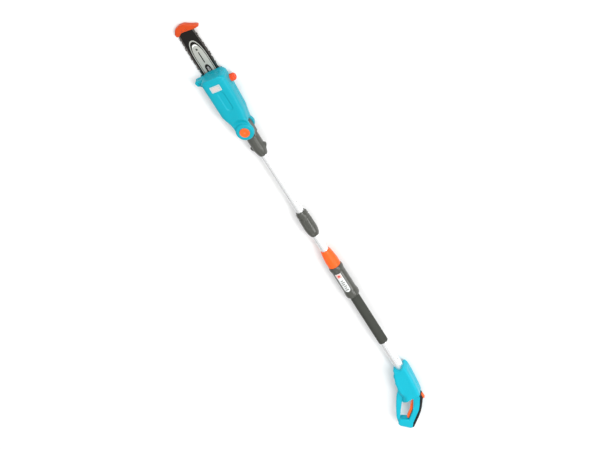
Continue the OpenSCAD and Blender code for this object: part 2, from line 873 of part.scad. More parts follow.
module carbon_brushes() {
    color("#2A2A2A") in_place() translate([0, motor_y, motor_z])
        for (s = [-1, 1])
            block(441, 447, s > 0 ? 9.2 : -15, s > 0 ? 15 : -9.2, -3, 3);
}

tank_y = [-36.5, -16];
module oil_tank() {
    color("#D8D3C4") in_place() difference() {
        union() {
            block(536, 574, tank_y[0], tank_y[1], -20, 30);
            translate([556, -40.5, -8]) rotate([-90, 0, 0]) cylinder(r = 9, h = 6);
        }
        block(538, 572, tank_y[0] + 2, tank_y[1] - 2, -18, 28);
        translate([556, -50, -8]) rotate([-90, 0, 0]) cylinder(r = 6.4, h = 20);
    }
}

module oil_pump() {
    color("#6F7276") in_place() {
        block(560, 580, -14, 2, -21.5, -13.5);
        rod_z(574, -6, -14, -6, 3);
    }
}

cap_r = 12.5;
cap_out = 58.5;
cap_ribs = 12;
module oil_cap() {
    color("#F0562A") in_place() translate([556, 0, -8]) rotate([90, 0, 0]) {
        difference() {
            union() {
                translate([0, 0, half_w + 0.3]) cylinder(r = cap_r, h = cap_out - half_w - 3.3);
                translate([0, 0, half_w + 1]) cylinder(r = cap_r - 2.5, h = cap_out - half_w - 1);
                translate([0, 0, 34]) cylinder(r = 6, h = half_w - 33);
            }
            for (i = [0:cap_ribs - 1])
                rotate([0, 0, 360 / cap_ribs * i])
                    translate([cap_r + 0.4, 0, half_w + 3]) cylinder(r = 1.3, h = 30);
        }
    }
}

handle_near_shell();
handle_far_shell();
handle_grip_pad();
handle_screws();
trigger();
trigger_pin();
lockout_button();
main_switch();
mains_inlet();
inlet_pins();
outer_tube();
pole_grip();
pole_grip_label();
sleeve_grip();
clamp_collet();
clamp_sleeve();
coiled_lead();
telescopic_tube();
tube_end_bush();
plug_ring();
lead_plug();
lead_socket();
socket_ring();
coupling_nut();
upper_tube();
upper_lead();
neck_near();
neck_far();
neck_screws();
housing_near_shell();
housing_far_shell();
housing_screws();
housing_label();
pivot_pin();
pivot_nut();
lock_ring();
tilt_button();
button_spring();
sprocket_cover();
bar_stud();
bar_nut();
tension_screw();
guide_bar();
saw_chain();
tip_guard();
guard_screws();
chain_sprocket();
output_shaft();
output_bearings();
crown_gear();
motor_rotor();
motor_stator();
motor_bearings();
carbon_brushes();
oil_tank();
oil_pump();
oil_cap();
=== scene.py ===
import math
import bmesh
import bpy
import numpy as np
from mathutils import Matrix, Vector


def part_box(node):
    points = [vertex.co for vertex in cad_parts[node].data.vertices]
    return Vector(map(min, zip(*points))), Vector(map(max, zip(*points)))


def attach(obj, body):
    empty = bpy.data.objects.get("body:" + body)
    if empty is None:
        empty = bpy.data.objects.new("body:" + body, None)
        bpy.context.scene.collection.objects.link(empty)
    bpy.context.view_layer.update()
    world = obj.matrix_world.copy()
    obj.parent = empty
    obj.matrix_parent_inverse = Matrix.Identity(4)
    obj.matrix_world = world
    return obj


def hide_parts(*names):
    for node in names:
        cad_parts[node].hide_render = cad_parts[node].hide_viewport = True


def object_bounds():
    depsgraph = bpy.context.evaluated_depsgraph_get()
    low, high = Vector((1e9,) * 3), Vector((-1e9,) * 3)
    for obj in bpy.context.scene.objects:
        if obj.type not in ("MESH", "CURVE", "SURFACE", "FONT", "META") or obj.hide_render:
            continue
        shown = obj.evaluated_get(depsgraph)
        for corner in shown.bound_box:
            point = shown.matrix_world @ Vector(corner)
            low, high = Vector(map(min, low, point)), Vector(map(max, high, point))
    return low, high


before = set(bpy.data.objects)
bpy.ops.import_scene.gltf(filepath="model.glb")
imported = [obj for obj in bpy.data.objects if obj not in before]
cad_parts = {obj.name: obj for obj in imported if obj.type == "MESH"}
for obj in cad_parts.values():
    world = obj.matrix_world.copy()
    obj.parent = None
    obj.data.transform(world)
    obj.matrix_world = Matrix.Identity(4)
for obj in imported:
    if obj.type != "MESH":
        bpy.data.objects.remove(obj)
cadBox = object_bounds()
print("frame loaded,", len(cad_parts), "nodes")

# Every piece is drawn in millimetres along the pole: x from the pole's middle towards the
# saw head, y towards the cutting side, z towards the side with the label.
upperTubeEnd = 345  # where the upper tube stops, inside the neck
tubeLow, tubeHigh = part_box("upper_tube")
poleOrigin = np.array([tubeHigh.x - upperTubeEnd / 1000,
                       (tubeLow.y + tubeHigh.y) / 2, (tubeLow.z + tubeHigh.z) / 2])


def toFrame(points):
    return np.asarray(points, float) / 1000 + poleOrigin


camera = {
    "toCamera": Vector((0.454, -0.362, 0.814)),  # from the saw towards the camera
    "tilt": math.radians(32.72),  # how far the pole leans in the picture
    "lookAt": (-5, 22, 10),
    "distance": 9.5,
    "lens": 180.7,
}


def addObject(name, data):
    obj = bpy.data.objects.new(name, data)
    bpy.context.scene.collection.objects.link(obj)
    return obj


def addCamera():
    data = bpy.data.cameras.new("camera")
    data.lens = camera["lens"]
    data.sensor_width = 36
    data.clip_end = 60
    obj = addObject("camera", data)
    back = camera["toCamera"].normalized()
    along = Vector((1, 0, 0))
    up = (along - back * along.dot(back)).normalized()  # the pole's direction, seen upright
    right = up.cross(back)
    lean = camera["tilt"]
    pictureRight = right * math.cos(lean) - up * math.sin(lean)
    pictureUp = right * math.sin(lean) + up * math.cos(lean)
    turn = Matrix((pictureRight, pictureUp, back)).transposed().to_4x4()
    target = Vector(toFrame(camera["lookAt"]))
    obj.matrix_world = Matrix.Translation(target + back * camera["distance"]) @ turn
    bpy.context.scene.camera = obj


def addLight(name, place, size, power):
    data = bpy.data.lights.new(name, "AREA")
    data.shape = "RECTANGLE"
    data.size, data.size_y = size
    data.energy = power
    obj = addObject(name, data)
    obj.location = place
    obj.rotation_euler = (-Vector(place)).to_track_quat("-Z", "Y").to_euler()


addCamera()
addLight("softboxOver", (1.2, -4.0, 5.6), (5.0, 1.4), 260)
addLight("softboxAlong", (6.0, -0.6, 3.2), (2.4, 2.4), 115)
addLight("softboxHandle", (-6.0, 1.4, 3.6), (2.4, 2.4), 30)
addLight("softboxStripe", (-3.2, -4.2, 3.1), (2.0, 2.0), 100)  # runs a highlight down the grips


def linear(hexColour):
    # sRGB hex, such as "#00B0C4", to linear light
    parts = [int(hexColour[i:i + 2], 16) / 255 for i in (1, 3, 5)]
    return [p / 12.92 if p <= 0.04045 else ((p + 0.055) / 1.055) ** 2.4 for p in parts] + [1]


def addNode(tree, kind, settings=None, links=None):
    node = tree.nodes.new("ShaderNode" + kind)
    for key, value in (settings or {}).items():
        if isinstance(key, str) and hasattr(node, key):
            setattr(node, key, value)
        else:
            node.inputs[key].default_value = value
    for key, source in (links or {}).items():
        tree.links.new(source, node.inputs[key])
    return node


def feed(tree, socket, value):
    # a socket takes either a plain value or a link from another socket
    if isinstance(value, bpy.types.NodeSocket):
        tree.links.new(value, socket)
    else:
        socket.default_value = value


def ranged(tree, source, low, high, start=0, stop=1):
    # carries start to stop over to low to high
    node = addNode(tree, "MapRange", {"From Min": start, "From Max": stop, "To Min": low,
                                      "To Max": high}, {"Value": source})
    return node.outputs["Result"]


def mixed(tree, amount, first, second):
    node = addNode(tree, "Mix", {"data_type": "RGBA"}, {0: amount})
    feed(tree, node.inputs[6], first)
    feed(tree, node.inputs[7], second)
    return node.outputs[2]


def calcIn(tree):
    # gives a function that adds one sum to this material
    def calc(operation, first, second=0.0):
        node = addNode(tree, "Math", {"operation": operation})
        feed(tree, node.inputs[0], first)
        feed(tree, node.inputs[1], second)
        return node.outputs[0]

    return calc


def inMillimetres(tree, place, origin):
    # x, y and z of a point of the surface, in mm from origin
    moved = addNode(tree, "Mapping", {"Location": tuple(-origin), "Scale": (1000, 1000, 1000)},
                    {"Vector": place})
    return addNode(tree, "SeparateXYZ", None, {"Vector": moved.outputs["Vector"]}).outputs


def addTent():
    # a white tent overhead that falls off towards the sides, which keeps the edges dark
    world = bpy.data.worlds.new("studio")
    bpy.context.scene.world = world
    world.use_nodes = True
    tree = world.node_tree
    place = addNode(tree, "TexCoord").outputs["Generated"]
    height = addNode(tree, "SeparateXYZ", None, {"Vector": place}).outputs["Z"]
    background = tree.nodes["Background"].inputs
    background["Color"].default_value = (1, 1, 1, 1)
    feed(tree, background["Strength"], ranged(tree, height, 0.06, 0.85, 0.05, 0.75))
    bpy.context.scene.view_settings.view_transform = "Standard"


addTent()


def newMaterial(name, settings):
    material = bpy.data.materials.new(name)
    material.use_nodes = True
    tree = material.node_tree
    shader = tree.nodes["Principled BSDF"].inputs
    for key, value in settings.items():
        shader[key].default_value = value
    place = addNode(tree, "TexCoord").outputs["Object"]
    return material, tree, shader, place


def perMetre(millimetres):
    return 1000 / millimetres  # texture scale for a pattern that repeats every so many mm


def noise(tree, place, millimetres, detail):
    return addNode(tree, "TexNoise", {"Scale": perMetre(millimetres), "Detail": detail},
                   {"Vector": place}).outputs["Fac"]


def toned(tree, colour, source, low, high):
    # the colour, darker where the source is low and lighter where it is high
    return addNode(tree, "HueSaturation", {"Color": linear(colour)},
                   {"Value": ranged(tree, source, low, high)}).outputs["Color"]


def bumped(tree, shader, height, strength, millimetres):
    bump = addNode(tree, "Bump", {"Strength": strength, "Distance": millimetres / 1000},
                   {"Height": height})
    feed(tree, shader["Normal"], bump.outputs["Normal"])


def moulded(name, colour, roughness=0.36, grain=1.4, grainDepth=0.02, wear=0.12, spread=0.06,
            coat=0.0, shine=0.25):
    # Injection moulded plastic: an even colour that shifts slightly over the part, a fine
    # spark-eroded grain that softens the highlight, and edges rubbed a little paler.
    material, tree, shader, place = newMaterial(name, {"IOR": 1.5, "Coat Weight": coat,
                                                       "Specular IOR Level": shine})
    flow = noise(tree, place, 45, 3)
    tone = toned(tree, colour, flow, 1 - spread, 1 + spread)
    edge = addNode(tree, "NewGeometry").outputs["Pointiness"]
    rubbed = ranged(tree, edge, 0, wear, 0.52, 0.62)
    feed(tree, shader["Base Color"], mixed(tree, rubbed, tone, (0.85, 0.88, 0.88, 1)))
    feed(tree, shader["Roughness"], ranged(tree, flow, roughness - 0.05, roughness + 0.07))
    bumped(tree, shader, noise(tree, place, grain, 2), 0.35, grainDepth)
    return material


def softTouch(name, colour, roughness=0.68, pebble=1.1):
    # Over-moulded rubber: nearly black, dull, with a pebbled skin that holds a little dust.
    material, tree, shader, place = newMaterial(name, {"IOR": 1.45, "Sheen Weight": 0.02})
    cells = addNode(tree, "TexVoronoi", {"Scale": perMetre(pebble)}, {"Vector": place})
    dust = noise(tree, place, 30, 5)
    feed(tree, shader["Base Color"], toned(tree, colour, dust, 0.8, 1.35))
    feed(tree, shader["Roughness"], ranged(tree, dust, roughness - 0.08, roughness + 0.12))
    bumped(tree, shader, cells.outputs["Distance"], 0.5, 0.06)
    return material


def metal(name, colour, roughness=0.3, stretch=(1, 1, 1), line=0.8, depth=0.01, mottle=0.1,
          metallic=1.0):
    # Worked metal: the stretch of the fine noise gives the direction in which the surface was
    # drawn, ground or rolled, and a broad noise gives uneven plating.
    material, tree, shader, place = newMaterial(name, {"Metallic": metallic})
    lines = addNode(tree, "Mapping", {"Scale": stretch}, {"Vector": place}).outputs["Vector"]
    fine = noise(tree, lines, line, 4)
    broad = noise(tree, place, 18, 4)
    feed(tree, shader["Base Color"], toned(tree, colour, broad, 1 - mottle, 1 + mottle / 2))
    feed(tree, shader["Roughness"], ranged(tree, fine, roughness - 0.08, roughness + 0.1))
    bumped(tree, shader, fine, 0.4, depth)
    return material


def banded(name, colour, other, pitch, axis, metallic=0.0, roughness=0.4):
    # Stacked or wound stuff, such as iron laminations or enamelled wire: thin bands side by
    # side, drawn about twice as coarse as real ones so that they show.
    material, tree, shader, place = newMaterial(name, {"Metallic": metallic,
                                                       "Roughness": roughness})
    wave = addNode(tree, "TexWave", {"bands_direction": axis, "Scale": perMetre(pitch) / 6.28,
                                     "Distortion": 0.4}, {"Vector": place}).outputs["Fac"]
    feed(tree, shader["Base Color"], mixed(tree, wave, linear(colour), linear(other)))
    bumped(tree, shader, wave, 0.5, 0.2)
    return material


mouldedHousingAbs = moulded("mouldedHousingAbs", "#00A2B4", 0.36)
# the handle is the housing's teal plastic; this copy is painted lighter, as painted light where
# more light falls on the handle
handleAbsPaintedLighter = moulded("handleAbsPaintedLighter", "#00B2C8", 0.36)
mouldedOrangePp = moulded("mouldedOrangePp", "#FF6420", 0.34)
mouldedCapPp = moulded("mouldedCapPp", "#E54B20", 0.36)
mouldedGuardPp = moulded("mouldedGuardPp", "#C8440F", 0.3, coat=0.1)
glassFilledNylon = moulded("glassFilledNylon", "#474842", 0.3, grain=1.0, grainDepth=0.02,
                           spread=0.1, shine=0.6)
mouldedBlackPp = moulded("mouldedBlackPp", "#161617", 0.45)
mouldedTankPe = moulded("mouldedTankPe", "#D6CFBC", 0.5, wear=0.0)
mouldedPumpPom = moulded("mouldedPumpPom", "#8D8F92", 0.4, wear=0.05)
softTouchTpe = softTouch("softTouchTpe", "#0E0E0F")
ribbedSleeveRubber = softTouch("ribbedSleeveRubber", "#373933", 0.7, 1.6)
drawnAluminium = metal("drawnAluminium", "#EFF0F0", 0.28, (0.03, 1, 1), 0.6, 0.006, 0.03, 0.65)
zincPlatedSteel = metal("zincPlatedSteel", "#B9BCC0", 0.32, (1, 1, 1), 1.2, 0.01, 0.15)
darkChromedSteel = metal("darkChromedSteel", "#6F6B67", 0.3, (1, 1, 1), 1.5, 0.02, 0.4)
groundGearSteel = metal("groundGearSteel", "#8E9196", 0.34, (1, 1, 0.1), 1.0, 0.02, 0.15)
platedBrass = metal("platedBrass", "#C9A24A", 0.28, (1, 1, 1), 1.0, 0.01, 0.1)
pressedCarbon = metal("pressedCarbon", "#2A2A2B", 0.6, (1, 1, 1), 0.7, 0.02, 0.3, 0.1)
woundCopper = banded("woundCopper", "#B86B3C", "#7A3F20", 1.2, "X", 0.6, 0.35)
laminatedIron = banded("laminatedIron", "#8A8D90", "#4C4E50", 1.0, "X", 0.7, 0.5)
print("materials ready")


# A shape in these helpers is a pair: points in mm, and faces.
def roundCorners(corners, radius, steps=5):
    # corners are [x, y], or [x, y, radius] where one corner differs
    outline = []
    for i, corner in enumerate(corners):
        here = np.array(corner[:2], float)
        back = np.array(corners[i - 1][:2], float) - here
        ahead = np.array(corners[(i + 1) % len(corners)][:2], float) - here
        size = corner[2] if len(corner) > 2 else radius
        backLength, aheadLength = np.linalg.norm(back), np.linalg.norm(ahead)
        back, ahead = back / backLength, ahead / aheadLength
        half = math.acos(max(-1, min(1, back @ ahead))) / 2
        if size < 0.05 or half > 1.53:
            outline.append(here)
            continue
        reach = min(size / math.tan(half), 0.48 * backLength, 0.48 * aheadLength)
        size = reach * math.tan(half)
        middle = here + (back + ahead) / np.linalg.norm(back + ahead) * size / math.sin(half)
        start = here + back * reach - middle
        end = here + ahead * reach - middle
        first = math.atan2(start[1], start[0])
        sweep = math.atan2(start[0] * end[1] - start[1] * end[0], start @ end)
        for k in range(steps + 1):
            angle = first + sweep * k / steps
            outline.append(middle + size * np.array([math.cos(angle), math.sin(angle)]))
    return np.array(outline)


def ringFaces(rings, count, closed=True):
    span = count if closed else count - 1
    return [(r * count + i, r * count + (i + 1) % count,
             (r + 1) * count + (i + 1) % count, (r + 1) * count + i)
            for r in range(rings - 1) for i in range(span)]


def prism(outline, low, high, edge=1.0, steps=3):
    # a closed plate of this outline with rounded rims
    outline = np.asarray(outline, float)
    following = np.roll(outline, -1, 0)
    if (outline[:, 0] * following[:, 1] - outline[:, 1] * following[:, 0]).sum() < 0:
        outline = outline[::-1]
    ahead = np.roll(outline, -1, 0) - outline
    side = np.stack([ahead[:, 1], -ahead[:, 0]], 1)
    side /= np.linalg.norm(side, axis=1)[:, None] + 1e-9
    out = side + np.roll(side, 1, 0)
    out /= np.linalg.norm(out, axis=1)[:, None] + 1e-9
    stretch = np.clip(1 / np.maximum((out * side).sum(1), 0.4), 1, 2)[:, None]
    angles = [math.pi / 2 * k / steps for k in range(steps + 1)] if edge else [0]
    rims = [(edge * (1 - math.sin(a)), edge * (1 - math.cos(a))) for a in angles]
    rings = [(inset, low + rise) for inset, rise in rims]
    rings += [(inset, high - rise) for inset, rise in reversed(rims)]
    points = np.concatenate([np.column_stack([outline - out * stretch * inset,
                                              np.full(len(outline), z)]) for inset, z in rings])
    n = len(outline)
    faces = ringFaces(len(rings), n)
    faces += [tuple(reversed(range(n))), tuple(range((len(rings) - 1) * n, len(rings) * n))]
    return points, faces


def turned(profile, segments=96, ripple=None, closed=True):
    # [station, radius] points round the pole's axis; ripple(station, angle) adds to the radius
    profile = np.asarray(profile, float)
    angles = np.arange(segments) * 2 * math.pi / segments
    points = []
    for station, radius in profile:
        r = radius + (ripple(station, angles, radius) if ripple else 0)
        points.append(np.column_stack([np.full(segments, station), r * np.cos(angles),
                                       r * np.sin(angles)]))
    rows = len(profile)
    faces = ringFaces(rows, segments)
    if closed:
        faces += [((rows - 1) * segments + i, (rows - 1) * segments + (i + 1) % segments,
                   (i + 1) % segments, i) for i in range(segments)]
    else:
        faces += [tuple(range(segments)),
                  tuple(reversed(range((rows - 1) * segments, rows * segments)))]
    return np.concatenate(points), faces


def rod(low, high, radius, segments=32, edge=0.3):
    # a closed round bar along the pole, both rims eased
    return turned([[low, radius - edge], [low + edge, radius], [high - edge, radius],
                   [high, radius - edge]], segments, closed=False)


def aimed(shape, place, axis="x"):
    # turns a shape made along the pole to another axis and moves it
    points, faces = shape
    quarter = math.pi / 2
    turns = {"x": (0, "X"), "z": (-quarter, "Y"), "y": (quarter, "Z"),
             "-z": (quarter, "Y"), "-y": (-quarter, "Z")}
    angle, about = turns[axis]
    turn = np.array(Matrix.Rotation(angle, 3, about))
    return points @ turn.T + np.asarray(place, float), faces


def drill(x, y, low, high, radius, segments=32):
    # a plain round hole or post square to the label side
    return aimed(rod(low, high, radius, segments, 0.1), (x, y, 0), "z")


def merged(shapes):
    points, faces, count = [], [], 0
    for shapePoints, shapeFaces in shapes:
        points.append(shapePoints)
        faces += [tuple(i + count for i in face) for face in shapeFaces]
        count += len(shapePoints)
    return np.concatenate(points), faces


def block(x0, x1, y0, y1, z0, z1):
    return prism([[x0, y0], [x1, y0], [x1, y1], [x0, y1]], z0, z1, 0)


def shade(obj, sharpAngle):
    mesh = obj.data
    mesh.polygons.foreach_set("use_smooth", [True] * len(mesh.polygons))
    mesh.set_sharp_from_angle(angle=math.radians(sharpAngle))


def newPiece(name, shape, sharpAngle=38):
    points, faces = shape
    mesh = bpy.data.meshes.new(name)
    mesh.from_pydata(toFrame(points).tolist(), [], faces)
    work = bmesh.new()
    work.from_mesh(mesh)
    bmesh.ops.recalc_face_normals(work, faces=work.faces)
    work.to_mesh(mesh)
    work.free()
    obj = addObject(name, mesh)
    shade(obj, sharpAngle)
    return obj


def applyModifiers(obj):
    depsgraph = bpy.context.evaluated_depsgraph_get()
    mesh = bpy.data.meshes.new_from_object(obj.evaluated_get(depsgraph))
    obj.modifiers.clear()
    old = obj.data
    obj.data = mesh
    bpy.data.meshes.remove(old)


def addModifier(obj, kind, settings):
    modifier = obj.modifiers.new(kind.lower(), kind)
    for key, value in settings.items():
        setattr(modifier, key, value)


def cutAway(obj, cutter):
    addModifier(obj, "BOOLEAN", {"operation": "DIFFERENCE", "solver": "MANIFOLD",
                                 "object": cutter})


def blended(name, adds, cuts=(), cell=1.0, soften=6, sharpAngle=60):
    # Solids that overlap are remeshed into one skin, hollowed by the cuts, and smoothed, so
    # that every inner and outer corner gets the small radius of a moulding.
    voxels = {"mode": "VOXEL", "voxel_size": cell / 1000}
    obj = newPiece(name, merged(adds))
    addModifier(obj, "REMESH", voxels)
    if cuts:
        cutter = newPiece(name + "Cutter", merged(cuts))
        addModifier(cutter, "REMESH", voxels)
        applyModifiers(cutter)
        cutAway(obj, cutter)
        addModifier(obj, "REMESH", voxels)
    addModifier(obj, "SMOOTH", {"factor": 0.5, "iterations": soften})
    applyModifiers(obj)
    if cuts:
        bpy.data.objects.remove(cutter)
    shade(obj, sharpAngle)
    return obj


def reshape(obj, rule):
    # rule gets the points in mm and their normals, and gives how far each one moves, in mm
    mesh = obj.data
    points = np.zeros(len(mesh.vertices) * 3)
    mesh.vertices.foreach_get("co", points)
    points = (points.reshape(-1, 3) - poleOrigin) * 1000
    normals = np.zeros(len(mesh.vertices) * 3)
    mesh.vertices.foreach_get("normal", normals)
    moved = points + rule(points, normals.reshape(-1, 3))
    mesh.vertices.foreach_set("co", toFrame(moved).ravel())
    mesh.update()


def ease(value, low, high):
    t = np.clip((value - low) / (high - low), 0, 1)
    return t * t * (3 - 2 * t)


def finishPiece(obj, body, slot, material, *nodes):
    obj.data.materials.clear()
    obj.data.materials.append(material)
    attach(obj, body)
    if nodes:
        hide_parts(*nodes)
    return obj


head = {
    "pivot": 383, "rear": 416, "front": 596, "near": 37, "far": -25, "hump": -36,
    "wall": 3, "barLine": 12.5, "barPlane": -29, "seam": 0.15, "noseRound": 14,
    "sprocket": 538, "stud": 584, "oilCap": (556, 0, -8),
}


def noseInset(x):
    # how far the sides draw in as they round over to the front
    size = head["noseRound"]
    past = max(0, size - (head["front"] - x)) / size
    return size * (1 - math.sqrt(max(0, 1 - past ** 2)))


def towardsCut(x):
    # half width on the cutting side: straight, then turned in to the pivot
    return 28 + 14 * ease(x, 410, 462) - noseInset(x)


def towardsCap(x):
    # the other side tapers all the way from the oil cap to the rear
    return 28 + 9 * ease(x, 408, 462) + 5 * ease(x, 445, 552) - noseInset(x)


def housingHalf(side, inset=0.0, squareness=5.2, start=None, stop=None):
    # lofted along the head; side is 1 for the half with the label and -1 for the bar's half
    start = head["rear"] - 3 + inset if start is None else start
    stop = head["front"] - inset if stop is None else stop
    size = head["noseRound"]
    stations = np.concatenate([np.linspace(start, stop - size, 46)[:-1],
                               stop - size * np.cos(np.linspace(0, math.pi / 2, 12))])
    stations = np.unique(np.round(stations, 3))
    angles = np.linspace(0, math.pi, 60)
    c, s = np.cos(angles), np.sin(angles)
    power = 2 / squareness
    height = (head["near"] if side > 0 else -head["far"]) - inset
    rings = []
    for x in stations:
        cut, cap = towardsCut(x) - inset, towardsCap(x) - inset
        y = np.where(c > 0, cut, cap) * np.sign(c) * np.abs(c) ** power
        z = side * height * np.abs(s) ** power
        y = np.concatenate([[cut], y, [-cap]])
        z = np.concatenate([[-side * 1.0], z, [-side * 1.0]])
        rings.append(np.column_stack([np.full(len(y), x), y, z]))
    n = len(rings[0])
    faces = ringFaces(len(rings), n)
    faces += [tuple(range(n)), tuple(reversed(range((len(rings) - 1) * n, len(rings) * n)))]
    return np.concatenate(rings), faces


def boss(radius, low, high, crown, axis="z"):
    # round boss about the pivot, its outer rim rounded over by crown
    profile = [[low, radius]]
    for k in range(7):
        a = math.pi / 2 * k / 6
        profile.append([high - crown + crown * math.sin(a), radius - crown + crown * math.cos(a)])
    return aimed(turned(profile, 72, closed=False), (head["pivot"], 0, 0), axis)


housingScrews = [(582, -34), (584, 36.4), (506, -33.5), (504, 35), (429, 26), (430, -15.5)]


def nearPivot(x):
    return x < 476  # the two screws by the pivot sit deeper than the others


def makeHousing():
    pivot = head["pivot"]
    stopOutline = roundCorners([[568, 30], [568, 41], [574, 52], [580, 60], [590, 63],
                                [596, 60], [596, 28]], 6)
    armNear = [[388, -27], [424, -27], [424, 27], [388, 27]]
    armFar = [[388, -19.5], [430, -19.5], [430, 21], [388, 21]]
    tongueGap = drill(pivot, 0, -20.2, 20.2, 30, 64)
    barrel = drill(pivot, 0, -34, 34, 5.05)
    filler = aimed(rod(30, 48, 9.3, 40, 0.1), head["oilCap"], "-y")

    nearAdds = [housingHalf(1), prism(stopOutline, -1, 14, 4),
                prism(armNear, 20.2, 33, 3), boss(29.3, 20.2, 35, 6.5)]
    nearAdds += [aimed(rod(0, 22, 4.4, 24, 0.2), (x, y, 0), "z") for x, y in housingScrews]
    # the dip is a shallow cone round the boss
    dip = aimed(turned([[28.5, 29.4], [28.5, 36], [38, 52], [38, 29.4]], 72),
                (pivot, 0, 0), "z")
    nearCuts = [block(360, 620, -80, 80, -40, head["seam"]), tongueGap, barrel, filler,
                drill(pivot, 0, 22.4, 40, 16.5, 64), dip]
    cavity = housingHalf(1, head["wall"], 5.2, head["rear"] + 16, head["front"] - 3)
    near = blended("housingNearShell", nearAdds, nearCuts + [cavity], 1.0, 5)

    def nearDetail(p, n):
        # long dish, label seat, groove and front edge pressed into the face with the label
        x, y, z = p.T
        top = ease(n[:, 2], 0.5, 0.9) * (z > 24)
        alongX = np.clip(x, 484, 536)
        dish = 1 - ease(np.hypot(x - alongX, y + 3) - 9.5, -1.5, 3.0)
        seat = ((1 - ease(np.abs(x - 561) - 11.4, -0.4, 0.5)) *
                (1 - ease(np.abs(y - 1.5) - 17.9, -0.4, 0.5)))
        step = ease(x, 579, 582) * (1 - ease(x, 585, 588.5))
        groove = (1 - ease(np.abs(x - 442.5 - 0.12 * (y - 4)), 0.5, 1.3)) * (
            1 - ease(np.abs(y - 4.5) - 16, 0, 1.5))
        flat = ease(x, 470, 480) * ease(y, -28, -19) * (1 - ease(y, 24, 34)) * (
            1 - ease(x, 572, 577))
        depth = 2.2 * dish + 0.55 * seat + 1.3 * step + 0.8 * groove + 0.35 * flat
        pocket = ease(x, 571, 577) * (1 - ease(x, 584, 590)) * ease(y, 42.5, 46) * (
            1 - ease(y, 52, 57)) * ease(z, 8, 13)
        move = np.zeros_like(p)
        move[:, 2] = -depth * top - 4.5 * pocket
        return move

    reshape(near, nearDetail)
    finishPiece(near, "head", "teal_housing", mouldedHousingAbs, "housing_near_shell")

    hump = prism(roundCorners([[410, -21], [474, -21], [474, 30], [410, 30]], 9),
                 head["hump"] + 0.3, -10, 4)
    farAdds = [housingHalf(-1, 0, 5.4), prism(stopOutline, -14, 1, 4), hump,
               prism(armFar, -35, -20.2, 3), boss(23.4, 20.2, 36, 4.5, "-z")]
    farAdds += [aimed(rod(-20, 0, 5.4, 24, 0.2), (x, y, 0), "z") for x, y in housingScrews]
    farCuts = [block(360, 620, -80, 80, -head["seam"], 40), tongueGap, barrel, filler,
               housingHalf(-1, head["wall"], 4.2, head["rear"] + 16, head["front"] - 3),
               prism(roundCorners([[418, -18], [471, -18], [471, 27], [418, 27]], 6), -33, -12, 3),
               drill(pivot, 0, -40, -30, 9, 40),
               drill(head["sprocket"], head["barLine"], -40, 0, 9.2, 48),
               drill(head["stud"], head["barLine"], -40, -18, 4.2)]
    for x, y in housingScrews:
        farCuts.append(drill(x, y, -44, -30 if nearPivot(x) else -15, 4.3))
        farCuts.append(drill(x, y, -44, 0.5, 2.2, 20))
    far = blended("housingFarShell", farAdds, farCuts, 1.0, 4)
    finishPiece(far, "head", "teal_housing", mouldedHousingAbs, "housing_far_shell")
    print("housing shells done")


makeHousing()


def screwShape(x, y, seat, tip, headRadius, shankRadius):
    # pan head with a cross recess, seen from the far side, on a threaded shank
    high = 2.6
    profile = [[0, 0.5], [0, headRadius * 0.55], [0.05, headRadius * 0.72],
               [0.5, headRadius * 0.94], [1.1, headRadius],
               [high - 0.2, headRadius], [high, shankRadius]]
    station = high
    while station < tip - seat - 2.2:
        profile += [[station + 0.5, shankRadius], [station + 0.9, shankRadius - 0.35]]
        station += 1.2
    profile += [[tip - seat - 1, shankRadius - 0.3], [tip - seat, 0.4]]
    points, faces = turned(profile, 40, closed=False)
    flat = np.hypot(points[:, 1], points[:, 2]) < headRadius * 0.75
    angle = np.arctan2(points[:, 2], points[:, 1])
    reach = np.minimum(np.abs(np.cos(angle)), np.abs(np.sin(angle)))
    inside = flat & (points[:, 0] < 0.3) & (reach < 0.3)
    points[inside, 0] += 1.1
    return aimed((points, faces), (x, y, seat), "z")


def makeScrews(node, body, spots, headRadius, shankRadius):
    # spots are (x, y, the head's flat, the shank's tip)
    shape = merged([screwShape(*spot, headRadius, shankRadius) for spot in spots])
    return finishPiece(newPiece(node + "Detailed", shape, 30), body, "zinc_steel",
                       zincPlatedSteel, node)


makeScrews("housing_screws", "head",
           [(x, y, -33 if nearPivot(x) else -18, 11) for x, y in housingScrews], 3.8, 1.95)

coverShape = {"face": -39, "radius": 31, "middle": 516, "front": 590, "thick": 2.6,
              "halfWidth": 38.5}


def makeSprocketCover():
    c = coverShape
    y = head["barLine"]
    inside, top = c["face"] + c["thick"], head["far"] - 0.3

    def outline(inset):
        radius, half = c["radius"] - inset, c["halfWidth"] - inset
        arc = [[c["middle"] + radius * math.cos(a), y + radius * math.sin(a)]
               for a in np.linspace(math.radians(105), math.radians(255), 28)]
        return roundCorners([[c["front"], y + half]] + arc + [[c["front"], y - half]], 3)

    adds = [prism(outline(0), c["face"], top, 3.2, 5)]
    cuts = [prism(outline(c["thick"]), inside, top + 6, 2),
            block(578, 600, y - 35, y + 35, inside, top + 6),
            drill(head["stud"], y, -60, 0, 4.4)]
    # chip slots and a shallow ring round the sprocket, on the outer face
    for i in range(5):
        x = 546 + 6 * i
        slot = [[x, y + 12], [x + 3, y + 12], [x + 3, y + 28], [x, y + 28]]
        cuts.append(prism(roundCorners(slot, 1.4), c["face"] - 2, c["face"] + 1.1, 0))
    cuts.append(aimed(turned([[-2, 15.5], [1.0, 15.5], [1.0, 18], [-2, 18]], 64),
                      (head["sprocket"], y, c["face"]), "z"))
    cover = blended("sprocketCover", adds, cuts, 0.9, 3)
    finishPiece(cover, "head", "teal_housing", mouldedHousingAbs, "sprocket_cover")


makeSprocketCover()

tipScrewX, tipScrewY = 757, 7  # two screws hold the tip guard, on both sides of the middle

# The bar is two steel skins and a core.
bar = {
    "nose": 741.5, "noseRadius": 23, "middle": 640, "halfWidth": 26.5, "shoulder": 575,
    "shoulderHalf": 25, "tail": 556, "slotFront": 612, "slotHalf": 4.6, "oilHole": 678,
    "halfThick": 1.9,
}


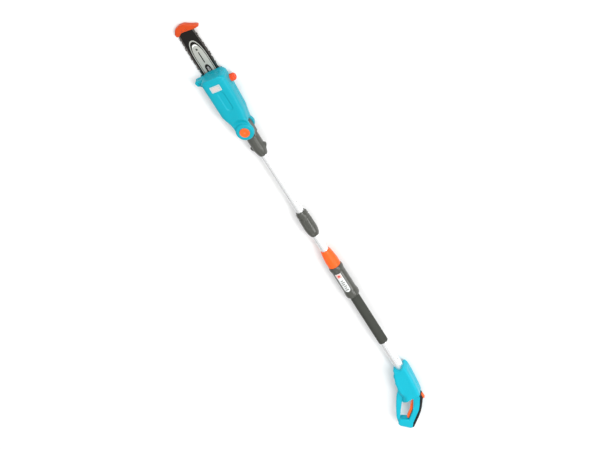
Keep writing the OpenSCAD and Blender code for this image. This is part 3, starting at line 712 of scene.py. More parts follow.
def barOutline(grow):
    nose = [[bar["nose"] + (bar["noseRadius"] + grow) * math.cos(a),
             (bar["noseRadius"] + grow) * math.sin(a)]
            for a in np.linspace(math.radians(-84), math.radians(84), 40)]
    top = []
    for t in np.linspace(0, 1, 12):
        x = bar["nose"] + (bar["middle"] - bar["nose"]) * t
        y = bar["noseRadius"] + (bar["halfWidth"] - bar["noseRadius"]) * math.sin(t * math.pi / 2)
        top.append([x, y + grow])
    top += [[bar["shoulder"], bar["shoulderHalf"] + grow], [bar["tail"] + 4, 20 + grow],
            [bar["tail"] - grow, 15]]
    return np.array(nose + top[1:] + [[x, -y] for x, y in reversed(top[1:])])


def ontoBar(obj):
    # moves a piece made about the origin to the bar's line and plane
    obj.data.transform(Matrix.Translation((0, head["barLine"] / 1000, head["barPlane"] / 1000)))


def roundHole(x, y, radius):
    ring = [[x + radius * math.cos(a), y + radius * math.sin(a)]
            for a in np.linspace(0, 2 * math.pi, 32, endpoint=False)]
    return prism(ring, -4, 4, 0)


def printedSteel(name):
    # Painted bar: gloss black over blasted steel, with a satin silver panel screen-printed in
    # two pointed arches, a bare hole and a plain dark stripe.
    material, tree, shader, place = newMaterial(name, {"IOR": 1.5, "Specular IOR Level": 0.2})
    axes = inMillimetres(tree, place, poleOrigin * 1000 + np.array([0, head["barLine"], 0]))
    calc = calcIn(tree)
    x, y = axes["X"], calc("ABSOLUTE", axes["Y"])

    def arch(apex, base, halfWidth, power=2.3):
        # 1 inside a panel with straight sides up to base and a pointed round end at apex
        t = calc("MAXIMUM", calc("DIVIDE", calc("SUBTRACT", x, base), apex - base), 0.0)
        across = calc("POWER", calc("DIVIDE", y, halfWidth), power)
        return calc("LESS_THAN", calc("ADD", calc("POWER", t, power), across), 1.0)

    fromHole = calc("POWER", calc("SUBTRACT", x, bar["oilHole"]), 2.0)
    hole = calc("LESS_THAN", calc("ADD", fromHole, calc("POWER", y, 2.0)), 12.0)
    stripe = calc("MULTIPLY", calc("LESS_THAN", y, 1.7),
                  calc("LESS_THAN", calc("ABSOLUTE", calc("SUBTRACT", x, 648)), 20.0))
    cap = calc("SUBTRACT", arch(697.3, 640, 15.5), arch(692.5, 640, 16.5))
    capArc = calc("MULTIPLY", cap, calc("GREATER_THAN", x, 688.0))
    border = calc("SUBTRACT", arch(713, 640, 21.6), arch(708.3, 640, 19.3))
    bare = calc("MAXIMUM", arch(620.5, 606, 8.6, 2.0), calc("MAXIMUM", hole, stripe))
    panel = calc("ADD", border, arch(698.5, 640, 17.4))
    silver = calc("MAXIMUM", calc("SUBTRACT", panel, bare), 0.0)
    silverTone = toned(tree, "#AEB0A9", noise(tree, place, 22, 5), 0.86, 1.08)
    paint = mixed(tree, silver, linear("#14110F"), silverTone)
    feed(tree, shader["Base Color"], mixed(tree, capArc, paint, linear("#F4F5F2")))
    feed(tree, shader["Roughness"], ranged(tree, silver, 0.3, 0.42))
    bumped(tree, shader, silver, 0.3, 0.04)
    return material


def makeGuideBar():
    skin, thick = barOutline(0), bar["halfThick"]
    adds = [prism(skin, 0.7, thick, 0.25, 2), prism(skin, -thick, -0.7, 0.25, 2),
            prism(barOutline(-5), -0.8, 0.8, 0)]
    obj = newPiece("guideBarPrinted", merged(adds), 30)
    half, tail = bar["slotHalf"], bar["tail"] + 9
    slot = [[tail, half]] + [[bar["slotFront"] - half + half * math.cos(a), half * math.sin(a)]
                             for a in np.linspace(math.pi / 2, -math.pi / 2, 20)]
    tools = [prism(slot + [[tail, -half]], -4, 4, 0), roundHole(bar["oilHole"], 0, 2.2),
             roundHole(tipScrewX, -tipScrewY, 1.6), roundHole(tipScrewX, tipScrewY, 1.6),
             roundHole(571, 16, 2.1)]
    cutter = newPiece("barCutter", merged(tools))
    cutAway(obj, cutter)
    applyModifiers(obj)
    bpy.data.objects.remove(cutter)
    shade(obj, 30)
    ontoBar(obj)
    finishPiece(obj, "head", "bar_steel", printedSteel("printedBarSteel"), "guide_bar")


makeGuideBar()

# The chain is built link by link.
chain = {
    "lift": 2.7,  # rivets above the bar's edge
    "rivets": 60, "side": 1.15, "drive": 1.3, "gap": 0.15, "height": 2.5, "sprocketRadius": 17,
}


def chainTrack():
    # the way of the rivets, as a closed line: the bar's edge, then round the sprocket
    lift = chain["lift"]
    reach = chain["sprocketRadius"] + lift
    sprocket = [[head["sprocket"] + reach * math.cos(a), reach * math.sin(a)]
                for a in np.linspace(math.radians(100), math.radians(260), 30)]
    edge = sorted((p for p in barOutline(lift) if p[0] >= bar["shoulder"] - 0.1),
                  key=lambda p: math.atan2(p[1], p[0] - bar["nose"]))
    upper = [p for p in edge if p[1] > 0]
    lower = [p for p in edge if p[1] <= 0]
    return np.array(upper + sprocket + lower)


def alongTrack(track, count):
    closed = np.vstack([track, track[:1]])
    steps = np.linalg.norm(np.diff(closed, axis=0), axis=1)
    total = np.concatenate([[0], np.cumsum(steps)])
    wanted = np.arange(count) * total[-1] / count
    return np.column_stack([np.interp(wanted, total, closed[:, 0]),
                            np.interp(wanted, total, closed[:, 1])]), total[-1] / count


def placeLink(shape, start, end):
    points, faces = shape
    way = (end - start) / np.linalg.norm(end - start)
    out = np.array([way[1], -way[0]])  # the track runs anticlockwise, so this points outwards
    flat = start + points[:, :1] * way + points[:, 1:2] * out
    return np.column_stack([flat[:, 0], flat[:, 1], points[:, 2]]), faces


def makeChain():
    c = chain
    spots, pitch = alongTrack(chainTrack(), c["rivets"])
    h, side = c["height"], c["drive"] / 2 + c["gap"]
    strap = roundCorners([[-h, -h], [pitch + h, -h], [pitch + h, h], [-h, h]], h * 0.9, 5)
    drive = roundCorners([[-2.3, -1.9], [1.6, -2.3], [2.9, -5.7], [5.4, -5.9], [7.0, -2.3],
                          [pitch + 2.3, -1.9], [pitch + 2.3, 1.9], [-2.3, 1.9]], 1.0, 3)
    tooth = roundCorners([[-h, -h], [pitch + h, -h], [pitch + h, 1.2], [pitch + 2.6, 4.3],
                          [pitch - 3.4, 3.6], [pitch - 3.0, 1.4], [4.2, 0.4], [3.2, 3.3],
                          [0.6, 3.4], [-h, 0.6]], 0.6, 3)
    blade = roundCorners([[pitch - 3.2, 3.0], [pitch + 2.7, 3.6], [pitch + 2.7, 4.5],
                          [pitch - 3.6, 3.9]], 0.3, 2)
    outer = side + c["side"]
    rivet = [[-outer - 0.35, 0.9], [-outer, 1.7], [outer, 1.7], [outer + 0.35, 0.9]]
    post = aimed(turned(rivet, 14, closed=False), (0, 0, 0), "z")
    links = []
    for i in range(c["rivets"]):
        parts = [post]
        if i % 2 == 0:
            parts.append(prism(drive, -c["drive"] / 2, c["drive"] / 2, 0.15, 1))
        else:
            for s in (-1, 1):
                low, high = sorted((s * side, s * outer))
                cutting = i % 4 == 1 and s == (1 if i % 8 == 1 else -1)
                parts.append(prism(tooth if cutting else strap, low, high, 0.15, 1))
                if cutting:
                    low, high = sorted((s * -0.6, s * (outer + 0.05)))
                    parts.append(prism(blade, low, high, 0.12, 1))
        start, end = spots[i], spots[(i + 1) % c["rivets"]]
        links += [placeLink(part, start, end) for part in parts]
    obj = newPiece("sawChainLinks", merged(links), 30)
    ontoBar(obj)
    finishPiece(obj, "head", "chain_steel", darkChromedSteel, "saw_chain")


makeChain()
print("bar and chain done")


def makeTipGuard():
    y, z = head["barLine"], head["barPlane"]
    corners = [[742, 23, 2.5], [742.3, 33, 4.5], [753, 33.6, 12], [769, 25, 16],
               [776.3, 6, 22], [775.6, -10, 14], [763, -34, 24], [756.5, -50, 3],
               [750.5, -50.4, 3], [748.2, -38, 6], [747.5, -31, 3], [750, -10, 20],
               [751, 12, 8]]
    outline = roundCorners(corners, 4, 8)
    inner = roundCorners([[730, 31.2], [742, 31.2, 10], [766, 22, 18], [773, 0, 20],
                          [766, -22, 18], [742, -31.2, 10], [730, -31.2]], 6, 8)
    half = 8.5
    adds = [prism(outline, -half, half, 4.2, 6)]
    cuts = [prism(inner, -4, 4, 1)]
    for s in (-tipScrewY, tipScrewY):
        cuts.append(drill(tipScrewX, s, -20, 20, 1.7, 20))
        cuts.append(drill(tipScrewX, s, -20, -5.5, 3, 28))
    guard = blended("tipGuardCap", adds, cuts, 0.7, 4)
    ontoBar(guard)

    def detail(p, n):
        # a shallow dished panel inside a raised border, and three grip flutes at the cutting side
        x, yy, zz = p[:, 0], p[:, 1] - y, p[:, 2] - z
        border = 6.5 - np.hypot((x - 761) / 1.2, (yy - 1) / 2.8)
        panel = ease(border, 0, 2.5)
        flute = np.zeros(len(x))
        for i in range(3):
            line = np.abs((x - 745 - 4.6 * i) * 0.5 - (yy - 24) * 0.86)
            flute = np.maximum(flute, (1 - ease(line, 0.6, 1.5)) *
                               ease(yy, 20, 23) * ease(x, 744, 746))
        move = np.zeros_like(p)
        facing = np.sign(n[:, 2]) * ease(np.abs(n[:, 2]), 0.4, 0.8)
        move[:, 2] = -facing * (0.8 * panel + 0.7 * flute) * (np.abs(zz) > 5)
        return move

    reshape(guard, detail)
    finishPiece(guard, "head", "guard_orange", mouldedGuardPp, "tip_guard")
    low = z - half + 0.2
    spots = [(tipScrewX, y + s, low + 0.1, low + 15) for s in (-tipScrewY, tipScrewY)]
    makeScrews("guard_screws", "head", spots, 2.7, 1.5)


makeTipGuard()


def makeButton():
    place = (head["pivot"], 0, 0)
    profile = [[27.6, 12.2], [27.6, 15.9], [36.2, 15.9], [37.2, 15.4], [37.8, 14.4],
               [38, 13.2], [37.5, 11.6], [37.1, 9], [37.0, 5], [37.0, 0.4]]
    inner = [[35.2, 0.4], [35.2, 11.8], [34.8, 12.2]]
    shape = turned(profile + inner, 72)
    button = newPiece("tiltButtonCap", aimed(shape, place, "z"), 40)
    finishPiece(button, "tilt_button", "orange_plastic", mouldedOrangePp, "tilt_button")


def makeOilCap():
    profile = [[34, 0.4], [34, 5.6], [34.4, 6], [42.3, 6], [42.3, 11.8], [43, 12.4], [54, 12.2],
               [55.4, 11.2], [55.6, 10.2], [57.8, 9.6], [58.4, 8.8], [58.5, 7.5], [57.9, 6.6],
               [57.7, 0.4]]
    stations = []
    for a, b in zip(profile[:-1], profile[1:]):
        count = 6 if b[0] - a[0] > 4 else 1
        for t in np.arange(count) / count:
            stations.append([a[0] + (b[0] - a[0]) * t, a[1] + (b[1] - a[1]) * t])
    stations.append(profile[-1])

    def knurl(station, angle, radius):
        wave = np.clip(np.cos(angle * 12), 0, 1) ** 2
        return -1.1 * wave * ease(station, 43.5, 45.5) * (radius > 9)

    cap = newPiece("oilCapKnurled", aimed(turned(stations, 144, knurl, closed=False),
                                          head["oilCap"], "-y"), 40)
    finishPiece(cap, "oil_cap", "orange_plastic", mouldedCapPp, "oil_cap")


makeButton()
makeOilCap()
print("guard, button and cap done")


handle = {
    "gripAngle": math.radians(133.6), "gripStart": (-778, 12), "mouth": -629, "bodyEnd": -756,
    "tubeEnd": -706, "bodyHalf": 26, "guardHalf": 9, "gripHalf": 14, "flatMiddle": (-858.5, 94),
    "flatAngle": math.radians(141), "hinge": (-749, 13), "seam": 0.15,
}


def onGrip(along, out, *radius):
    # a point so far along the grip, and so far from its inner face towards the fingers
    c, s = math.cos(handle["gripAngle"]), math.sin(handle["gripAngle"])
    x, y = handle["gripStart"]
    return [x + along * c + out * s, y + along * s - out * c, *radius]


def inInlet(shape):
    # a shape made at the origin, moved to the flat end of the handle
    points, faces = shape
    c, s = math.cos(handle["flatAngle"]), math.sin(handle["flatAngle"])
    x, y = points[:, 0], points[:, 1]
    middle = handle["flatMiddle"]
    return np.column_stack([x * c - y * s + middle[0], x * s + y * c + middle[1],
                            points[:, 2]]), faces


def handleOutlines():
    end, mouth = handle["bodyEnd"], handle["mouth"]
    body = [[mouth, -20, 2], [-642, -24, 9], [-673, -23, 14], [-700, -20.5, 16],
            [-735, -17.5, 16], [end, -14, 3], [end, 14, 1], [-765, 60, 3], [-743, 43, 4],
            [-701, 43, 12], [-678, 38, 16], [-653, 31, 16], [-640, 23, 8], [mouth, 20, 2]]
    guard = [[-743, 43], [-701, 43, 3], [-720, 53, 16], [-736, 66, 20], [-762, 81, 30],
             [-787, 94, 30], [-813, 106, 24], [-836, 111, 6], [-842, 108, 3], [-820, 98, 8],
             [-765, 60, 6]]
    grip = [[end + 3, 16], [-770, 15, 6], onGrip(2, 0, 10), onGrip(92, 0), onGrip(92, -20),
            onGrip(30, -20, 20), onGrip(12, -17, 12), [-770, -7.5, 6], [end + 3, -11]]
    base = [onGrip(82, 2, 3), [-820, 98, 4], [-836, 111, 6], [-843, 110.5, 3],
            [-848, 107, 3], [-869, 81, 5], [-868, 76, 4], onGrip(110, -23, 2),
            onGrip(92, -22, 2)]
    return [roundCorners(outline, 2, 5) for outline in (body, guard, grip, base)]


def makeHandle():
    h = handle
    body, guard, grip, base = handleOutlines()
    adds = [prism(body, -h["bodyHalf"], h["bodyHalf"], 8, 6),
            prism(guard, -h["guardHalf"], h["guardHalf"], 4, 4),
            prism(grip, -h["gripHalf"], h["gripHalf"], 5, 5),
            prism(base, -h["gripHalf"] - 1, h["gripHalf"] + 1, 5, 5)]
    inside = [[-640, -18], [-673, -19], [-700, -17], [-752, -13], [-752, 12], [-758, 50],
              [-743, 39], [-701, 39], [-678, 34.5], [-653, 27.5], [-640, 19]]
    triggerSlot = [[-750, 7], [-750, 20], [-760, 20], [-773, 17], onGrip(2, 1),
                   onGrip(84.5, 1), onGrip(84.5, -9), onGrip(8, -9), [-770, 4], [-756, 6]]
    scoop = turned([[13.2, 0.5], [13.2, 14.9], [27.2, 18], [60, 18], [60, 0.5]], 64,
                   closed=False)
    screws = [(-662, 25), (-747, -7), (-748, 37), (-838, 100)]
    gripScrew = tuple(onGrip(52, -11))
    common = [prism(roundCorners(inside, 4), -h["bodyHalf"] + 3, h["bodyHalf"] - 3, 6),
              rod(h["tubeEnd"] - 1, h["mouth"] + 20, 14.75, 64, 0.1),
              aimed(scoop, (h["mouth"] + 9, 0, 0), "z"),
              aimed(scoop, (h["mouth"] + 9, 0, 0), "-z"),
              prism(roundCorners(triggerSlot, 1), -7.7, 7.7, 0),
              block(-779.8, -760.2, -24, -2, -6.9, 6.9),
              block(-775.5, -764.5, -4, 1.5, -5.2, 5.2),
              inInlet(block(-16, 10, -14, 14, -11, 11))]
    for side, node in ((1, "handle_near_shell"), (-1, "handle_far_shell")):
        low, high = (-60, h["seam"]) if side > 0 else (-h["seam"], 60)
        cuts = common + [block(-900, -600, -60, 140, low, high)]
        if side < 0:
            for x, y in screws + [gripScrew]:
                # the recess is deeper where the shell is thick
                seat = -h["bodyHalf"] + 4 if x > -800 else -h["gripHalf"] + 3
                seat = -h["gripHalf"] + 4 if (x, y) == gripScrew else seat
                cuts.append(drill(x, y, -44, seat, 4.3))
        shell = blended("handleShell" + ("Near" if side > 0 else "Far"), adds, cuts, 1.0, 5)

        def detail(p, n):
            # a shallow step round the body panel
            x, y, z = p.T
            facing = ease(np.abs(n[:, 2]), 0.55, 0.9) * (np.abs(z) > 20)
            middle = 9 - 0.14 * (x + 690)
            panel = ease(x, -744, -738) * (1 - ease(x, -664, -656)) * (
                1 - ease(np.abs(y - middle), 14, 17))
            move = np.zeros_like(p)
            move[:, 2] = -np.sign(z) * facing * 0.35 * panel
            # the corner over the guard bar falls away, so that the two run into each other
            corner = ease(y + 0.35 * (x + 765), 34, 60) * ease(-x, 722, 750) * (
                1 - ease(-x, 770, 785))
            thick = np.maximum(np.abs(z) - h["guardHalf"], 0)
            move[:, 2] -= np.sign(z) * 0.72 * corner * thick
            # three soft waves along the body's side
            wave = np.cos((x + 664) * 2 * math.pi / 32) * ease(x, -722, -712) * (
                1 - ease(x, -650, -644)) * ease(n[:, 1], 0.3, 0.8)
            move[:, 1] -= 0.6 * (1 + wave) * (y > 20)
            return move

        reshape(shell, detail)
        # the shells get the teal painted lighter: painted light on the handle
        finishPiece(shell, "handle", "teal_housing", handleAbsPaintedLighter, node)
    spots = [(x, y, -h["bodyHalf"] + 1 if x > -800 else -h["gripHalf"], 7.5) for x, y in screws]
    spots.append((*gripScrew, -h["gripHalf"] + 1, 7.5))
    makeScrews("handle_screws", "handle", spots, 3.8, 1.95)


def makeGripPad():
    body, _, grip, base = handleOutlines()
    half = handle["gripHalf"]
    reach = -28
    outline = roundCorners([[-757, -7], [-770, -4], onGrip(14, -14), onGrip(30, -18),
                            onGrip(105, -18), onGrip(108, -22, 2), onGrip(104, reach + 1, 4),
                            onGrip(60, reach, 40), onGrip(34, reach + 1, 20),
                            onGrip(16, reach + 4, 14), onGrip(2, reach + 8, 10),
                            [-776, -13, 8], [-757, -14, 2]], 1, 6)
    adds = [prism(outline, -half - 1, half + 1, 5.5, 6)]
    cuts = [prism(body, -40, 40, 0), prism(grip, -half, half, 5, 5),
            prism(base, -half - 1.1, half + 1.1, 4.5, 4),
            block(-779.3, -760.7, -40, 10, -6.4, 6.4)]
    pad = blended("gripPadMoulded", adds, cuts, 0.6, 2)

    def ribs(p, n):
        # fine cross ribs on the palm side
        c, s = math.cos(handle["gripAngle"]), math.sin(handle["gripAngle"])
        along = (p[:, 0] - handle["gripStart"][0]) * c + (p[:, 1] - handle["gripStart"][1]) * s
        wave = 0.5 - 0.5 * np.cos(along * 2 * math.pi / 4.5)
        zone = ease(along, 14, 20) * (1 - ease(along, 92, 98)) * (1 - ease(np.abs(p[:, 2]), 9, 11))
        outward = -(n[:, 0] * s - n[:, 1] * c)
        return -n * (0.55 * (1 - wave) * zone * ease(outward, 0.3, 0.8))[:, None]

    reshape(pad, ribs)
    finishPiece(pad, "handle", "grip_rubber", softTouchTpe, "handle_grip_pad")


def makeTrigger():
    outline = roundCorners([[-745.5, 10.5], [-745.5, 15.5], [-751.5, 17.8], [-759, 18.3, 8],
                            [-769.5, 17.2, 10], onGrip(4, 9, 10), onGrip(73, 9, 6),
                            onGrip(79, 6, 3), onGrip(79.5, 0.4), onGrip(8, 0, 6),
                            [-771.5, 9.6, 6], [-752, 8.2]], 1, 6)
    x, y = handle["hinge"]
    hub = aimed(rod(-7, 7, 4.5, 40, 0.5), (x, y, 0), "z")
    bore = drill(x, y, -9, 9, 2.1)
    trigger = blended("triggerLever", [prism(outline, -7, 7, 2.4, 5), hub], [bore], 0.5, 3)
    finishPiece(trigger, "trigger", "orange_plastic", mouldedOrangePp, "trigger")


def makeLockout():
    adds = [prism([[-779, -17], [-761, -17], [-761, -9], [-779, -9]], -6, 6, 1.6, 4),
            prism([[-774, -11], [-766, -11], [-766, -4.5], [-774, -4.5]], -4, 4, 0.8, 2)]
    button = blended("lockoutSlider", adds, (), 0.4, 3)

    def ridges(p, n):
        wave = np.maximum(0, np.cos((p[:, 0] + 770) * 2 * math.pi / 3.6))
        return -n * (0.45 * wave * ease(-n[:, 1], 0.5, 0.9) *
                     (np.abs(p[:, 2]) < 4.6))[:, None]

    reshape(button, ridges)
    finishPiece(button, "lockout", "orange_plastic", mouldedOrangePp, "lockout_button")


def makeInlet():
    def plate(x0, x1, y, z, corner):
        # an upright plate across the inlet: its outline is in y and z
        outline = roundCorners([[-z, -y], [z, -y], [z, y], [-z, y]], corner)
        points, faces = prism(outline, x0, x1, 0)
        return inInlet((np.column_stack([points[:, 2], points[:, 1], points[:, 0]]), faces))

    def atPin(side, shape):
        points, faces = shape
        return inInlet((points + np.array([0, 0, side * 6.2]), faces))

    cuts = [plate(-12, 20, 11, 8.5, 2.5)]
    cuts += [atPin(s, rod(-17, -10, 1.75, 24, 0.05)) for s in (-1, 1)]
    inlet = blended("mainsInletSocket", [plate(-15.9, -0.3, 13.8, 10.8, 3)], cuts, 0.4, 2)
    finishPiece(inlet, "handle", "black_plastic", mouldedBlackPp, "mains_inlet")
    tip = [[-15.9, 0.3], [-15.9, 1.6], [-4.2, 1.6], [-3.3, 1.2], [-3, 0.5]]
    pin = turned(tip, 24, closed=False)
    pins = newPiece("inletPinsTurned", merged([atPin(s, pin) for s in (-1, 1)]))
    finishPiece(pins, "handle", "contact_brass", platedBrass, "inlet_pins")

makeHandle()
makeGripPad()
makeTrigger()
makeLockout()
makeInlet()
print("handle done")


pole = {"tube": 12.5, "wall": 1.4, "outer": 14.5, "gripTop": -192, "gripLow": -320,
        "sleeveLow": -523, "ribPitch": 3.75, "leadPitch": 5.2}


def latheProfile(corners, radius=0.6, steps=4, longest=6):
    # eased corners, and long lines split so that ripples can run along them
    eased = roundCorners(corners, radius, steps)
    points = []
    for a, b in zip(eased, np.roll(eased, -1, 0)):
        count = max(1, int(np.linalg.norm(b - a) / longest))
        points += [a + (b - a) * k / count for k in range(count)]
    return points


def lathe(name, corners, body, slot, material, node, radius=0.6, segments=96, ripple=None,
          longest=8, sharp=38):
    shape = turned(latheProfile(corners, radius, longest=longest), segments, ripple)
    return finishPiece(newPiece(name, shape, sharp), body, slot, material, node)


def makeTubes():
    for name, low, high, radius, body, node in (
            ("outerTubeDrawn", -706, -196, pole["outer"], "handle", "outer_tube"),
            ("telescopicTubeDrawn", -600, -16, pole["tube"], "inner_pole", "telescopic_tube"),
            ("upperTubeDrawn", -15.5, upperTubeEnd, pole["tube"], "inner_pole", "upper_tube")):
        inner = radius - pole["wall"]
        lathe(name, [[low, inner], [high, inner], [high, radius], [low, radius]], body,
              "pole_aluminium", drawnAluminium, node, 0.35, 128, longest=60)


def makePoleGrip():
    top, low, bore = pole["gripTop"], pole["gripLow"], pole["outer"] + 0.05
    corners = [[top, 16.9, 0.3], [top, 21.4, 1.2], [-196, 23.1, 4], [-202, 23.5, 6],
               [-207, 22.6, 6], [-213, 21.5, 5], [-294, 21.5, 6], [-299, 22.6, 5],
               [-305, 23.3, 6], [-312, 23, 6], [-317, 21.4, 3], [low, 18.6, 1.5],
               [low, bore, 0.2], [-226, bore, 0.2], [-226, 16.9, 0.2]]

    def rings(station, angles, radius):
        # shallow rings round the swelling at the lower end, on the outer skin only
        if radius > 20 and -312 < station < -300:
            return -0.35 * (0.5 - 0.5 * math.cos(station * 2 * math.pi / 5))
        return 0

    lathe("poleGripMoulded", corners, "handle", "dark_grey_plastic", glassFilledNylon,
          "pole_grip", 1, 128, rings, 1.0)


def makeSleeveGrip():
    low, high = pole["sleeveLow"], pole["gripLow"] - 0.1
    inner = pole["outer"] + 0.05
    points = [[low, inner], [low, 14.9], [low + 0.5, 15.5], [low + 1.5, 15.95], [low + 3, 16]]
    groove = [(0, 16), (0.5, 15.75), (0.9, 15.45), (1.5, 15.4), (2.1, 15.45), (2.5, 15.75),
              (2.9, 16)]
    station = low + 12
    while station < high - 2:
        points += [[station + along, radius] for along, radius in groove]
        station += pole["ribPitch"]
    points += [[high, 16], [high, inner]]
    finishPiece(newPiece("sleeveGripRibbed", turned(points, 96), 50), "handle",
                "sleeve_rubber", ribbedSleeveRubber, "sleeve_grip")


def makeClampSleeve():
    bore, ledge = pole["tube"] + 0.4, 15.3
    corners = [[-127, bore, 0.3], [-127, 14.9, 0.7], [-130, 16, 3], [-136, 17.6, 10],
               [-145, 18.8, 20], [-155, 19.9, 20], [-164, 20.8, 20], [-173, 21.2, 14],
               [-189, 21.2, 1.5], [-191.5, 20.6, 0.8], [-191.5, ledge, 0.3],
               [-138, ledge, 0.3], [-138, bore, 0.3]]

    def flutes(station, angles, radius):
        # twelve very shallow finger flutes, running out towards both ends
        if radius <= 16.5:
            return 0
        zone = ease(station, -186, -176) * (1 - ease(station, -142, -134))
        return -0.45 * zone * np.clip(np.cos(angles * 12), 0, 1) ** 2

    lathe("clampSleeveFluted", corners, "clamp", "orange_plastic", mouldedOrangePp,
          "clamp_sleeve", 1, 144, flutes, 2.5)


def makeCouplingNut():
    bore, hollow = pole["tube"] + 0.5, 16.3
    corners = [[36, bore, 0.3], [36, 15.6, 0.8], [32, 16.4, 1.5], [30, 18.6, 1.2],
               [24, 19.4, 2], [20, 19.4, 0.7], [19, 18.2, 0.5], [13, 18.2, 0.5],
               [12, 19.6, 0.7], [-33, 20.5, 30], [-46, 19.4, 16], [-56, 16.9, 8],
               [-62, 14.2, 1.2], [-62, bore, 0.3], [-57, bore, 0.2],
               [-57, hollow, 0.3], [30.5, hollow, 0.3], [30.5, bore, 0.2]]

    def grooves(station, angles, radius):
        # finger grooves round the barrel, cut with a round tool
        if radius < 18 or not -31 < station < 9:
            return 0
        zone = ease(station, -31, -28) * (1 - ease(station, 6, 9))
        step = 2 * math.pi / 18
        across = np.abs((angles + step / 2) % step - step / 2) * radius
        return -0.85 * zone * (1 - ease(across, 0.3, 1.35))

    lathe("couplingNutGrooved", corners, "coupling", "dark_grey_plastic", glassFilledNylon,
          "coupling_nut", 1, 288, grooves, 1.5)


def makeNeck():
    profile = [[272, 0.5], [272, 13.2], [272.6, 13.9], [276, 15.4], [280, 16.7], [286, 18.2],
               [292, 19.4], [298, 20.5], [303, 20.95], [352, 20.95], [352, 0.5]]
    wing = [[315, 14], [314, 20, 3], [312, 24, 1], [307.5, 28.3, 2.2], [301.5, 27.2, 2.5],
            [288, 18.5, 5], [284, 12]]
    pivot = head["pivot"]
    arc = [[pivot + 22 * math.cos(a), 22 * math.sin(a)]
           for a in np.radians(np.linspace(-62, 62, 24))]
    tongue = np.array([[350, -19]] + arc + [[350, 19]])
    wingOutline = roundCorners(wing, 1, 5)
    adds = [turned(profile, 96, closed=False), prism(wingOutline, -3.2, 3.2, 1.4, 3),
            prism(wingOutline * [1, -1], -3.2, 3.2, 1.4, 3), prism(tongue, -19.6, 19.6, 1.2, 3)]
    common = [rod(271, upperTubeEnd, pole["tube"] + 0.15, 64, 0.1),
              drill(pivot, 0, -40, 40, 5.2)]
    spots = [(338, 16.5), (338, -16.5), (300, 17), (300, -17)]

    def detail(p, n):
        # a shallow flute along the sides
        x, y, z = p.T
        flute = ease(x, 302, 306) * (1 - ease(x, 340, 345)) * (
            1 - ease(np.abs(np.abs(y) - 10), 0.6, 1.6)) * ease(np.abs(z), 12, 14)
        return -n * (0.4 * flute)[:, None]

    for name, node, low, high in (("neckNearMoulded", "neck_near", -60, 0.12),
                                  ("neckFarMoulded", "neck_far", -0.12, 60)):
        cuts = common + [block(260, 420, -60, 60, low, high)]
        if node == "neck_far":
            cuts += [drill(x, y, -40, -8, 3.2) for x, y in spots]
        half = blended(name, adds, cuts, 0.8, 3)
        reshape(half, detail)
        finishPiece(half, "inner_pole", "dark_grey_plastic", glassFilledNylon, node)
    makeScrews("neck_screws", "inner_pole", [(x, y, -10.5, 6) for x, y in spots], 2.9, 1.5)


def makeLead():
    # the coiled lead in the tubes: a close helix of round wire with a short tail at each end
    start, end, radius, wire = -700, -36, 5.2, 1.75
    turns = (end - start - 16) / pole["leadPitch"]
    count = int(turns * 20)
    t = np.linspace(0, 1, count)
    x = start + 8 + (end - start - 16) * t
    angle = 2 * math.pi * turns * t
    way = np.column_stack([x, radius * np.cos(angle), radius * np.sin(angle)])
    way = np.vstack([[[start, radius, 0], [start + 5, radius, 0]], way,
                     [[end - 5, way[-1, 1], way[-1, 2]], [end, way[-1, 1], way[-1, 2]]]])
    ahead = np.gradient(way, axis=0)
    ahead /= np.linalg.norm(ahead, axis=1)[:, None]
    outward = way * [0, 1, 1]
    outward /= np.linalg.norm(outward, axis=1)[:, None]
    outward -= ahead * (ahead * outward).sum(1)[:, None]
    outward /= np.linalg.norm(outward, axis=1)[:, None]
    other = np.cross(ahead, outward)
    ring = np.arange(8) * math.pi / 4
    points = (way[:, None] + wire * (outward[:, None] * np.cos(ring)[None, :, None] +
                                     other[:, None] * np.sin(ring)[None, :, None]))
    faces = ringFaces(len(way), 8)
    faces += [tuple(range(8)), tuple(reversed(range((len(way) - 1) * 8, len(way) * 8)))]
    lead = newPiece("coiledLeadHelix", (points.reshape(-1, 3), faces), 60)
    finishPiece(lead, "handle", "black_plastic", mouldedBlackPp, "coiled_lead")


makeTubes()
makePoleGrip()
makeSleeveGrip()
makeClampSleeve()
makeCouplingNut()
makeNeck()
makeLead()
print("poles done")

def printedLabel(name, film, parts):
    # Polyester film of one colour with generic printed bars; parts are [colour, x0, x1, y0, y1]
    # in millimetres along the pole, later ones over earlier ones.
    material, tree, shader, place = newMaterial(name, {"IOR": 1.5, "Roughness": 0.32})
    axes = inMillimetres(tree, place, poleOrigin * 1000)
    calc = calcIn(tree)

    def within(axis, low, high):
        off = calc("ABSOLUTE", calc("SUBTRACT", axes[axis], (low + high) / 2))
        return calc("LESS_THAN", off, (high - low) / 2)

    colour = linear(film)
    for tone, x0, x1, y0, y1 in parts:
        inside = calc("MULTIPLY", within("X", x0, x1), within("Y", y0, y1))
        colour = mixed(tree, inside, colour, linear(tone))
    feed(tree, shader["Base Color"], colour)
    bumped(tree, shader, noise(tree, place, 0.8, 2), 0.2, 0.02)
    return material


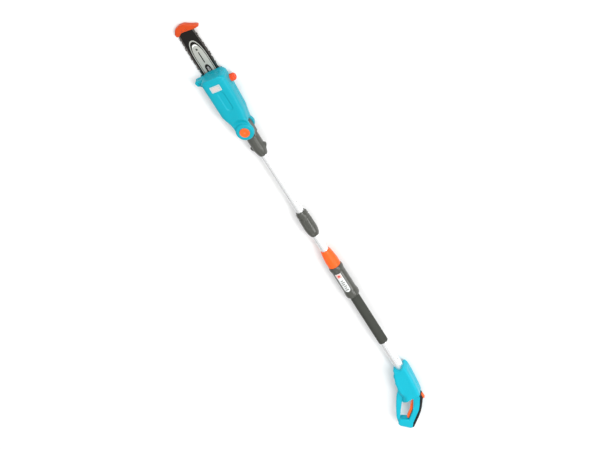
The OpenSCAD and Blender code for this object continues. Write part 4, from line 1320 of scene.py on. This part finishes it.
def makeLabels():
    outline = roundCorners([[550.2, -15.8], [571.8, -15.8], [571.8, 18.8], [550.2, 18.8]], 2)
    film = newPiece("housingLabelFilm", prism(outline, head["near"] - 0.52, head["near"] + 0.1,
                                              0.06, 1))
    rows = [["#AEB9BA", 552.5, 569.5, -13.5, 16.5]]
    rows += [["#D9C4C0", 554.5 + 3.4 * i, 556.6 + 3.4 * i, -11.5 + 4 * (i % 2), 14.5]
             for i in range(4)]
    finishPiece(film, "head", "label_white", printedLabel("printedHousingFilm", "#BCCBCD", rows),
                "housing_label")
    # the long label is wrapped round the grip; its lower end is round
    low, high, half, outside, count = -290.7, -216.3, 9.8, 22.05, 36
    points = []
    stations = np.concatenate([low + half * (1 - np.cos(np.linspace(0.12, math.pi / 2, 14))),
                               np.linspace(low + 12, high, 24)])
    for layer in (outside, outside - 0.45):
        for x in stations:
            width = half * math.sqrt(max(0, 1 - max(0, (low + half - x) / half) ** 2))
            across = np.linspace(-width, width, count)
            points.append(np.column_stack([np.full(count, x), across,
                                           np.sqrt(layer ** 2 - across ** 2)]))
    n = len(stations)
    grid = np.concatenate(points)
    top = [(row + i, row + i + 1, row + count + i + 1, row + count + i)
           for row in range(0, (n - 1) * count, count) for i in range(count - 1)]
    base = n * count
    under = [tuple(base + k for k in reversed(face)) for face in top]
    edge = (list(range(count)) + [row * count + count - 1 for row in range(1, n)] +
            [(n - 1) * count + i for i in range(count - 2, -1, -1)] +
            [row * count for row in range(n - 2, 0, -1)])
    sides = [(a, b, base + b, base + a) for a, b in zip(edge, edge[1:] + edge[:1])]
    label = newPiece("poleGripLabelFilm", (grid, top + under + sides))
    bars = [["#F0B9B0", -233, -218, -8, 8], ["#D8322A", -229, -222, -3.5, 3.5]]
    bars += [["#83857F", -284 + 7.4 * i, -279.6 + 7.4 * i, -6.2 + 2.2 * (i % 2),
              6.2 - 1.4 * (i % 3)] for i in range(6)]
    finishPiece(label, "handle", "label_white", printedLabel("printedGripFilm", "#E4E8E8", bars),
                "pole_grip_label")


makeLabels()

# These pieces keep their CAD mesh and only get a material.
keptNodes = {
    mouldedBlackPp: ["main_switch", "clamp_collet", "tube_end_bush", "plug_ring", "lead_plug",
                     "lead_socket", "socket_ring", "upper_lead"],
    zincPlatedSteel: ["trigger_pin", "pivot_pin", "pivot_nut", "lock_ring", "button_spring",
                      "bar_stud", "bar_nut", "tension_screw", "output_shaft",
                      "output_bearings", "motor_bearings"],
    groundGearSteel: ["crown_gear", "chain_sprocket"],
    woundCopper: ["motor_rotor"], laminatedIron: ["motor_stator"],
    pressedCarbon: ["carbon_brushes"], mouldedTankPe: ["oil_tank"],
    mouldedPumpPom: ["oil_pump"],
}
for material, names in keptNodes.items():
    for name in names:
        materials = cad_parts[name].data.materials
        materials.clear()
        materials.append(material)
print("labels and kept nodes done")


def makeFloor():
    mesh = bpy.data.meshes.new("floor")
    mesh.from_pydata([(-30, -30, 0), (30, -30, 0), (30, 30, 0), (-30, 30, 0)], [],
                     [(0, 1, 2, 3)])
    floor = addObject("floor", mesh)
    floor.location.z = cadBox[0][2] - 0.0005  # half a millimetre under the saw
    sweep = newMaterial("paleStudioSweep", {"Base Color": (0.93, 0.93, 0.93, 1),
                                            "Roughness": 0.9})[0]
    mesh.materials.append(sweep)


makeFloor()
